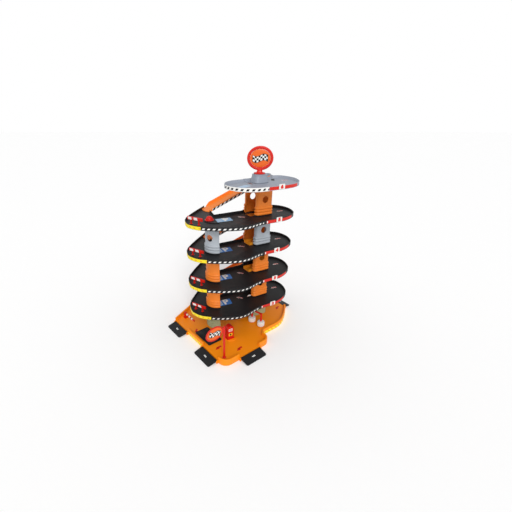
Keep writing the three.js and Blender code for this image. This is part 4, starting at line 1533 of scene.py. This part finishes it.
@dataclass
class LappedRibs:
    """Rounded ribs round the foot of every tower and column shell, and blind column windows.

    Args:
        first: Height of the lowest rib over the shell's foot.
        pitch: Height of one rib.
        count: Ribs on a shell.
        rib: Rib's section from its foot up, out and up.
        sink: How far the ribs reach into the shell.
        half_width: Half the tower's width.
        half_depth: Half the tower's depth.
        door: Half the doorway's width.
        corner: Radius of the tower's corners.
        seam: Distance from the ribs' end to the shells' seam.
        rear_extra: What the rear shell is wider on the doorway's side.
        column_radius: Outside radius of the column.
        column_span: First and last angle of the column's shell.
        blind_span: First and last angle of a window's blind.
        blind_half: Half the blind's height.
        blind_out: How far it stands out of the column.
        blind_sink: How far it reaches into the window.
        window_share: Height of a window's middle in its shell.
        deck_depth: What a deck takes of a storey's height.
        smooth: Greatest angle in degrees that shades smooth on the ribs.
    """

    first: float = 3.2
    pitch: float = 10.3
    count: int = 3
    rib: tuple[Pair, ...] = ((0.35, 0.0), (2.4, 0.3), (3.4, 1.2), (3.7, 2.6), (3.4, 4.8), (2.6, 7.0),
                             (1.4, 8.7), (0.35, 9.5))
    sink: float = 0.6
    half_width: float = 32.5
    half_depth: float = 37.5
    door: float = 23.5
    corner: float = 9.0
    seam: float = 0.2
    rear_extra: float = 9.0
    column_radius: float = 37.0
    column_span: Pair = (152.0, 262.0)
    blind_span: Pair = (184.0, 230.0)
    blind_half: float = 13.0
    blind_out: float = 0.06
    blind_sink: float = 2.7
    window_share: float = 0.53
    deck_depth: float = 3.4
    smooth: float = 50.0

    def tower_path(self, extra: float) -> np.ndarray:
        """Outer face of the front shell, from the doorway to the seam.

        Args:
            extra: What the shell is wider on the doorway's side.

        Returns:
            Points by 2.
        """
        left, right, front = -self.half_width - extra, self.half_width, -self.half_depth
        corners = [arc(self.corner, start, start + 90.0, count=7) + (side, front + self.corner)
                   for start, side in ((180.0, left + self.corner), (270.0, right - self.corner))]
        return np.vstack([(left, -self.door), *corners, (right, -self.seam)])

    def column_path(self, span: Pair) -> np.ndarray:
        """Arc of the column's outer face between two angles."""
        return COLUMN + arc(self.column_radius, *span, count=31)

    def profile(self) -> np.ndarray:
        """Stacks the ribs: each bulges low down and runs out to a groove at its top.

        Returns:
            Pairs of out and up.
        """
        lift = self.first + self.pitch * np.arange(self.count)
        ribs = (self.rib + np.stack([0 * lift, lift], axis=-1)[:, None]).reshape(-1, 2)
        return np.vstack([(-self.sink, self.first), ribs, (-self.sink, ribs[-1, 1])])

    def build(self, shop: Workshop, mouldings: Mouldings) -> None:
        """Makes the ribs of every shell in the shell's own finish, and the blinds.

        Args:
            shop: Makes the pieces.
            mouldings: Knows each shell's finish.
        """
        rear = self.tower_path(self.rear_extra)[::-1] * (1.0, -1.0)
        column = self.column_path(self.column_span)
        front = self.tower_path(0.0)
        shells = (("tower_front", front, TOP), ("tower_rear", rear, TOP), ("column", column, TOP - 1))
        for start, path, storeys in shells:
            for level in range(storeys):
                ribs = swept(raised(path, FLOORS[level] + GAP), self.profile())
                # On the lowest storey this is the grey with painted orange bounce light
                look, _ = mouldings.skin(f"{start}_{level + 1}")
                shop.piece(f"{start}_ribs_{level + 1}", [ribs], look, smooth=self.smooth)
        for level in DECKS[:2]:
            shell = FLOORS[level + 1] - FLOORS[level] - self.deck_depth
            path = raised(self.column_path(self.blind_span), FLOORS[level] + shell * self.window_share)
            section = label_section(-self.blind_half, self.blind_half, self.blind_out, self.blind_sink)
            blind = swept(path, section)
            shop.piece(f"column_blind_{level + 1}", [blind], mouldings.skin(f"column_{level + 1}")[0])


@dataclass
class GuardPrints:
    """White blocks on the guard rails' faces.

    Args:
        spot: Place and turn of a rail.
        spans: Left and right end of each block.
        height: Height of a block.
        up: Height of its middle over the rail's foot.
        face: Distance of a face from the rail's middle plane.
        print_depth: Thickness of a block.
        corner: Radius of a block's corners.
        slant: Sideways shift of a block for each millimetre up.
    """

    spot: Spot = Spot(-260.0, -16.0, -61.5)
    spans: tuple[Pair, ...] = ((-26.5, -12.5), (-3.0, 11.0))
    height: float = 8.2
    up: float = 18.7
    face: float = 1.9
    print_depth: float = 0.3
    corner: float = 1.0
    slant: float = -0.25

    def build(self, shop: Workshop) -> None:
        """Makes the blocks of the four rails.

        Args:
            shop: Makes the pieces.
        """
        far = self.face + self.print_depth
        depths = ((self.face, far), (-far, -self.face))
        for level in DECKS:
            blocks = []
            for left, right in self.spans:
                place = ((left + right) / 2, FLOORS[level] + GAP + self.up)
                outline = rounded(right - left, self.height, self.corner, self.slant, place)
                blocks += [slab(outline, *depth).upright(0.0).moved(self.spot) for depth in depths]
            shop.piece(f"guard_blocks_{level + 1}", blocks, WHITE_PRINT)


@dataclass
class Sign:
    """Oval sign: a rounded ring, a crowned face and a finish flag on both sides.

    Args:
        name: Start of the pieces' names.
        spot: Place and turn of the sign's plane.
        centre: Local X and height of the oval's middle.
        width: Outside width.
        height: Outside height.
        ring: Width of the ring.
        depth: Depth of the ring.
        face: Thickness of the face.
        lean: Degrees that the flag leans.
        flag_share: Width of the flag over the face's.
        flag_slimness: Height of the flag over its width.
        flag_border: What the dark ground is wider and higher.
        flag_step: Thickness of the dark ground, and its distance from the face's rim.
        face_play: What the face is smaller than the ring's inside.
        smooth: Greatest angle in degrees that shades smooth on the ring.
    """

    name: str
    spot: Spot
    centre: Pair
    width: float
    height: float
    ring: float
    depth: float
    face: float
    lean: float = 0.0
    flag_share: float = 0.72
    flag_slimness: float = 0.36
    flag_border: float = 3.0
    flag_step: float = 0.5
    face_play: float = 0.6
    smooth: float = 42.0

    def shifted(self, patch: Patch) -> Patch:
        """A patch built round the sign's middle, at the sign's place."""
        up = replace(patch, points=patch.points + (self.centre[0], 0.0, self.centre[1]))
        return up.moved(self.spot)

    def flag(self, width: float, height: float, front: float, thickness: float, side: int) -> Patch:
        """Waving flag: a strip whose height rises and falls once along its width.

        Height is v plus a twelfth of the width times the sine of the turn along u, leaned by
        the sign's angle.

        Args:
            width: Width of the flag.
            height: Height of the flag.
            front: Distance of its back from the sign's middle plane.
            thickness: Its thickness.
            side: -1 on the front, 1 on the back.

        Returns:
            The closed grid.
        """
        along = np.linspace(-0.5, 0.5, 32)[:, None]
        wave = width / 12 * np.sin(2 * math.pi * along)
        up = np.array([-1, -1, 1, 1]) * height / 2
        level, across = wave + up, side * -along * width
        near, far = side * front, side * (front + thickness)
        cosine, sine = math.cos(math.radians(self.lean)), side * math.sin(math.radians(self.lean))
        depths = np.array([near, far, far, near])
        parts = (across * cosine + level * sine, depths, level * cosine - across * sine)
        uv = np.stack(np.broadcast_arrays((along + 0.5) * width, up + height / 2), axis=-1)
        return self.shifted(capped(np.stack(np.broadcast_arrays(*parts), axis=-1), uv))

    def build(self, shop: Workshop, stand: Sequence[Patch]) -> None:
        """Makes the ring with its stand, the face and the flags.

        Args:
            shop: Makes the pieces.
            stand: Grids of what carries the ring.
        """
        ring = self.shifted(oval_ring(self.width, self.height, self.ring, self.depth))
        parts = [ring, *(patch.moved(self.spot) for patch in stand)]
        carrier = shop.piece(self.name + "_ring", parts, RED, smooth=self.smooth)
        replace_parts(carrier, self.name)
        inner = 2 * self.ring + self.face_play
        disc = self.shifted(oval_disc(self.width - inner, self.height - inner, self.face))
        face = shop.piece(self.name + "_disc", [disc], SIGN_ORANGE)
        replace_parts(face, self.name + "_face")
        width = (self.width - inner) * self.flag_share
        height = width * self.flag_slimness
        border, step = self.flag_border, self.flag_step
        front = self.face / 2 + step
        for side, label in ((-1, "front"), (1, "back")):
            ground = self.flag(width + border, height + border, front, step, side)
            shop.piece(f"{self.name}_flag_ground_{label}", [ground], DARK_PRINT)
            flag = self.flag(width, height, front + step, PAPER, side)
            shop.piece(f"{self.name}_flag_{label}", [flag], FLAG_PRINT)


@dataclass
class Signs:
    """The top sign with its neck and flange, and the roadside sign with its pole.

    Args:
        top_spot: Place and turn of the top sign.
        pole_spot: Place of the pole and turn of its sign.
        pole_side: Local X of the roadside sign's middle.
        turret: Height of the turret that carries the top sign.
        top_centre: Height of the top sign's middle over its flange.
        pole_height: Height of the pole.
        pole_centre: Height of the roadside sign's middle over the ground.
        flange: Radius and height of the flange's outline, over its foot.
        neck: Width, depth and height of the neck's sections, over the foot.
        pole: Radius and height of the pole's foot, over the floor.
        tip: Radius of the pole's tip, and height under its top.
        lug: Half the depth and half the height of the lug, and its two ends.
    """

    top_spot: Spot = Spot(-4.5, 0.0, -35.0)
    pole_spot: Spot = Spot(-249.5, -191.0, 9.0)
    pole_side: float = -38.3
    turret: float = 28.0
    top_centre: float = 50.1
    pole_height: float = 131.0
    pole_centre: float = 130.3
    flange: tuple[Pair, ...] = ((0, 0), (19.2, 0), (20, 0.8), (20, 3.2), (19.2, 4), (0, 4))
    neck: tuple[Triple, ...] = ((27, 16, 3.6), (22, 13, 5.5), (18.6, 11, 8.5), (18, 9.5, 12), (20, 8, 16),
                                (25, 7.4, 19.5), (30, 7, 21.6))
    pole: tuple[Pair, ...] = ((0, 0), (6.3, 0), (6.5, 0.6), (6.4, 2.2), (5.4, 3.0), (4.0, 3.6), (3.7, 6))
    tip: tuple[Pair, ...] = ((3.4, -1.4), (2.6, -0.2), (0, 0))
    lug: tuple[float, ...] = (2.3, 8.0, -8.6, -1.0)

    def loft(self, sizes: Sequence[Triple], foot: float) -> Patch:
        """Upright loft of superellipses of power 2.6, whose halves are the widths and depths.

        Args:
            sizes: Width, depth and height of each ring.
            foot: Height that is added.

        Returns:
            The closed grid.
        """
        across, deep = superellipse(round_turn(steps=40), power=2.6)
        rings = [np.column_stack([across * width / 2, deep * depth / 2]) for width, depth, _ in sizes]
        return capped(np.stack([raised(ring, foot + size[2]) for ring, size in zip(rings, sizes)]))

    def build(self, shop: Workshop) -> None:
        """Makes both signs.

        Args:
            shop: Makes the pieces.
        """
        foot = FLOORS[TOP] + self.turret + 2 * GAP
        flange = revolved(self.flange + np.array([0.0, foot]), steps=56)
        sign = Sign("top_sign", self.top_spot, (0.0, foot + self.top_centre),
                    width=89.0, height=78.0, ring=9.8, depth=8.0, face=4.0)
        sign.build(shop, [flange, self.loft(self.neck, foot)])
        foot = FLOORS[0] + GAP
        tip = np.array(self.tip) + (0.0, self.pole_height)
        pole = np.vstack([self.pole, tip]) + (0.0, foot)
        deep, high, left, right = self.lug
        lug = box_patch((left, -deep, self.pole_centre - high), (right, deep, self.pole_centre + high))
        sign = Sign("pole_sign", self.pole_spot, (self.pole_side, self.pole_centre),
                    width=67.0, height=52.0, ring=4.2, depth=4.0, face=2.4, lean=-20.0)
        sign.build(shop, [revolved(pole, steps=32), lug])


@dataclass
class Wash:
    """White fluted rollers of the car wash.

    Args:
        radius: Outside radius.
        height: Height of a roller.
        bore: Radius of its bore.
        bore_depth: Depth of its bore.
        lift: Height of its foot over the floor.
        head: Roller's upper edge, radius and height under its top; past the bore it counts from it.
        flank: Roller's outside, inset from the radius and height under the top.
        heel: Roller's lower edge, inset and height over the foot.
        flutes: Number of flutes.
        flute_depth: Depth of a flute.
        places: Plan place and body of each roller.
    """

    radius: float = 14.0
    height: float = 19.0
    bore: float = 2.3
    bore_depth: float = 15.0
    lift: float = 3.0
    head: tuple[Pair, ...] = ((0, 0), (3, 0), (3.2, -0.5))
    flank: tuple[Pair, ...] = ((2.5, -0.5), (1.2, -0.7), (0.3, -1.3), (0, -2.4))
    heel: tuple[Pair, ...] = ((0, 2), (0.4, 0.8), (1.4, 0))
    flutes: int = 24
    flute_depth: float = 1.1
    places: tuple[tuple[str, Spot, Body], ...] = (
        ("wash_roller_near", Spot(*NEAR_ROLLER), Body.ROLLER_NEAR),
        ("wash_roller_far", Spot(-38.0, -104.0), Body.ROLLER_FAR))

    def build(self, shop: Workshop) -> None:
        """Makes both rollers with flutes, rounded edges and the pin's bore.

        Args:
            shop: Makes the pieces.
        """
        foot = FLOORS[0] + self.lift
        top = foot + self.height
        deep = top - self.bore_depth
        profile = np.array([
            (0, deep), (self.bore, deep), *((self.bore + out, top + up) for out, up in self.head),
            *((self.radius - inset, top + up) for inset, up in self.flank),
            *((self.radius - inset, foot + up) for inset, up in self.heel), (0, foot)])
        for name, spot, body in self.places:
            drum = revolved(profile, 6 * self.flutes, self.flutes, self.flute_depth).moved(spot)
            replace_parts(shop.piece(name + "_drum", [drum], WHITE, body), name)


@dataclass
class RedCap:
    """Domed cap in the highest column socket, with a round brim.

    Args:
        reach: Its distance from the column's axis.
        heading: Direction in degrees in which it lies.
        dome: Radius and height of the dome.
        brim: Radius and height of the brim's outline.
        smooth: Greatest angle in degrees that shades smooth.
    """

    reach: float = 21.0
    heading: float = 146.0
    dome: Pair = (12.6, 12.0)
    brim: tuple[Pair, ...] = ((0, 0), (15.2, 0), (15.8, 0.6), (15.8, 1.9), (15.1, 2.5))
    smooth: float = 50.0

    def build(self, shop: Workshop) -> None:
        """Makes the cap.

        Args:
            shop: Makes the pieces.
        """
        dome = arc(1.0, 0.0, 90.0, count=9) * self.dome + (0.0, self.brim[-1][1])
        profile = np.vstack([self.brim, dome]) + (0.0, FLOORS[DECKS[-1]] + GAP)
        angle = math.radians(self.heading)
        spot = Spot(self.reach * math.cos(angle) + COLUMN[0], self.reach * math.sin(angle) + COLUMN[1])
        cap = revolved(profile).moved(spot)
        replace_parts(shop.piece("red_cap", [cap], RED, smooth=self.smooth), "column_cap")


@dataclass
class PumpPrints:
    """Labels in the fuel pump's recesses, and the raised disc that it stands on.

    Args:
        spot: The pump's place.
        face: Plan depth of the recesses' floor.
        label: Width, height and corner of both labels.
        upper: Height of the upper label's middle over the pump's foot.
        lower: Height of the lower label's middle.
        bar: Width, height and corner of a red bar.
        bar_pitch: Height from bar to bar.
        badge: Width, height and corner of the round badge.
        disc_spot: The disc's place.
        disc: Radius and height of the disc's outline, over the floor.
    """

    spot: Spot = Spot(-182.0, -107.0)
    face: float = -8.8
    label: Triple = (15.5, 11.5, 1.2)
    upper: float = 39.5
    lower: float = 19.5
    bar: Triple = (12.0, 1.5, 0.7)
    bar_pitch: float = 2.9
    badge: Triple = (7.6, 7.6, 3.7)
    disc_spot: Spot = Spot(-178.0, -109.0)
    disc: tuple[Pair, ...] = ((0, -0.5), (22, -0.5), (22, 0.8), (21.2, 1.6), (0, 1.6))

    def print_at(self, size: Triple, height: float, depth: float = PAPER) -> Patch:
        """Upright rounded print with its middle at a height over the pump's foot."""
        outline = rounded(*size, place=(0.0, FLOORS[0] + GAP + height))
        return slab(outline, 0.0, depth).upright(self.face).moved(self.spot)

    def build(self, shop: Workshop) -> None:
        """Makes the prints and the disc.

        Args:
            shop: Makes the pieces.
        """
        over = PAPER + OVER
        heights = [self.upper + self.bar_pitch * number for number in (-1, 0, 1)]
        shop.piece("pump_upper_label", [self.print_at(self.label, self.upper)], WHITE_PRINT)
        shop.piece("pump_bars", [self.print_at(self.bar, height, over) for height in heights], RED_PRINT)
        shop.piece("pump_lower_label", [self.print_at(self.label, self.lower)], YELLOW_PRINT)
        shop.piece("pump_badge", [self.print_at(self.badge, self.lower, over)], DARK_PRINT)
        disc = revolved(self.disc + np.array([0.0, FLOORS[0]]), steps=64).moved(self.disc_spot)
        shop.piece("pump_island", [disc], TRAY_ORANGE)


@dataclass
class BasePrints:
    """Barrier bands, flap marks and lugs, and the base's labels and arrows.

    Args:
        barrier: Place of the barrier in the base's frame.
        pivot: Height of the barrier's pin over the floor.
        bands: Where the bands start along the arm.
        band: Length of a band, and its half width and half height.
        gates: Name, place in the base's frame and body of each flap.
        mark: Width, depth and corner of a block on a flap.
        mark_slant: Its sideways shift for each millimetre out.
        marks: Places of a flap's three blocks along its width.
        mark_reach: Distance of the blocks from the gate.
        hinge: Distance and height of a flap's upper face at its hinge.
        fall_share: What the upper face falls for each millimetre out.
        lug: Distance from the gate, place to the side, underside and top of a lug.
        lug_size: Width, depth and corner of a lug.
        lug_edge: Width of its rounded edges.
        labels: The labels on the left wall and the right curve.
        arrows: Places of the arrows on the floor.
        slimness: Length of an arrow's chord over its stroke's width.
        bow_start: Where the wall's straight front before the right curve starts.
        bow: Right curve of the base's wall.
    """

    barrier: Spot = Spot(-258.0, 136.0)
    pivot: float = 20.0
    bands: tuple[float, ...] = (-10.0, -28.0, -46.0)
    band: Triple = (9.0, 2.2, 2.95)
    gates: tuple[tuple[str, Spot, Body], ...] = (
        ("left_rear", Spot(-300.0, 95.0, 180.0), Body.FLAP_LEFT_REAR),
        ("left_front", Spot(-300.0, -99.0, 180.0), Body.FLAP_LEFT_FRONT),
        ("front", Spot(-187.5, -181.0, 270.0), Body.FLAP_FRONT),
        ("right", Spot(127.0, -11.5), Body.FLAP_RIGHT))
    mark: Triple = (5.0, 3.2, 0.5)
    mark_slant: float = 0.35
    marks: Triple = (-4.6, 0.0, 4.6)
    mark_reach: float = 21.0
    hinge: Pair = (4.8, 10.5)
    fall_share: float = 8.1 / 35.0
    lug: tuple[float, ...] = (10.4, 41.0, 6.5, 10.4)
    lug_size: Triple = (6.0, 6.0, 1.5)
    lug_edge: float = 0.8
    labels: tuple[Label, ...] = (
        Label("base_label_left", (-300.0, 46.0), (-300.0, -50.0), BASE_LABEL, low=1.2, high=13.2, out=0.3),
        Label("base_label_right", (-78.0, -133.0), (119.0, -70.0), BASE_LABEL, low=1.6, high=13.0, out=0.3))
    arrows: tuple[Spot, ...] = (
        Spot(-239.0, -136.0, 10.0), Spot(-176.0, -176.0, 14.0), Spot(104.0, -30.0, 20.0),
        Spot(-272.0, -8.0, 60.0))
    slimness: float = 2.2
    bow_start: Pair = (-80.0, -133.0)
    bow: tuple[Pair, ...] = (
        (-38.1, -133.0), (2.54, -133.0), (40.64, -123.69), (88.9, -95.095), (127.0, -63.0))

    def flap(self, shop: Workshop, name: str, gate: Spot, body: Body) -> None:
        """Three slanted white blocks on a flap, and the lugs at its hinge.

        A block lies on the flap's upper face, whose height falls evenly from the hinge outwards.

        Args:
            shop: Makes the pieces.
            name: The flap's name.
            gate: Its place.
            body: Its body.
        """
        marks = []
        for place in self.marks:
            mark = slab(rounded(*self.mark, place=(self.mark_reach, place)), 0.0, PAPER)
            out = mark.points[..., 0]
            mark.points[..., 1] += self.mark_slant * (out - self.mark_reach)
            mark.points[..., 2] += self.hinge[1] - (out - self.hinge[0]) * self.fall_share
            marks.append(mark.moved(gate, BASE))
        shop.piece(f"flap_mark_{name}", marks, WHITE_PRINT, body)
        out, side, low, high = self.lug
        outlines = [rounded(*self.lug_size, place=(out, place)) for place in (-side, side)]
        lugs = [slab(outline, low, high).moved(gate, BASE) for outline in outlines]
        shop.piece(f"flap_lugs_{name}", lugs, BLACK, body, edge=self.lug_edge)

    def build(self, shop: Workshop) -> None:
        """Makes the prints and lugs.

        Args:
            shop: Makes the pieces.
        """
        length, half, high = self.band
        pivot = FLOORS[0] + self.pivot
        bands = []
        for start in self.bands:
            band = box_patch((-half, start - length, pivot - high), (half, start, pivot + high))
            bands.append(band.moved(self.barrier, BASE))
        shop.piece("barrier_bands", bands, WHITE_PRINT, Body.BARRIER)
        for name, gate, body in self.gates:
            self.flap(shop, name, gate, body)
        left = self.labels[0]
        bow = np.vstack([self.bow_start, spline(np.array(self.bow), steps=9)])
        for label, wall in zip(self.labels, (np.array([left.start, left.end]), bow)):
            shop.piece(label.name, [label.on(wall, 0.0).moved(BASE)], label.look)
        for number, spot in enumerate(self.arrows):
            arrow = Arrow(spot, FLOORS[0], slimness=self.slimness, ground=0.0)
            arrow.build(shop, f"base_arrow_{number + 1}")


def main() -> None:
    """Builds the sub-assemblies in order."""
    logging.basicConfig(level=logging.INFO, format="%(name)s: %(message)s")
    low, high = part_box("wash_roller_near")
    across, deep = NEAR_ROLLER
    origin = Vector(((low.x + high.x) / 2 - across * MM, (low.y + high.y) / 2 - deep * MM, 0.0))
    Studio().build(origin)
    shop = Workshop(origin)
    mouldings = Mouldings()
    mouldings.build(shop)
    LappedRibs().build(shop, mouldings)
    for assembly in (DeckPrints, RampPrints, GuardPrints, Signs, Wash, RedCap, PumpPrints, BasePrints):
        assembly().build(shop)
    LOG.info("%d pieces made", len(shop.made))


if __name__ == "__main__":
    main()
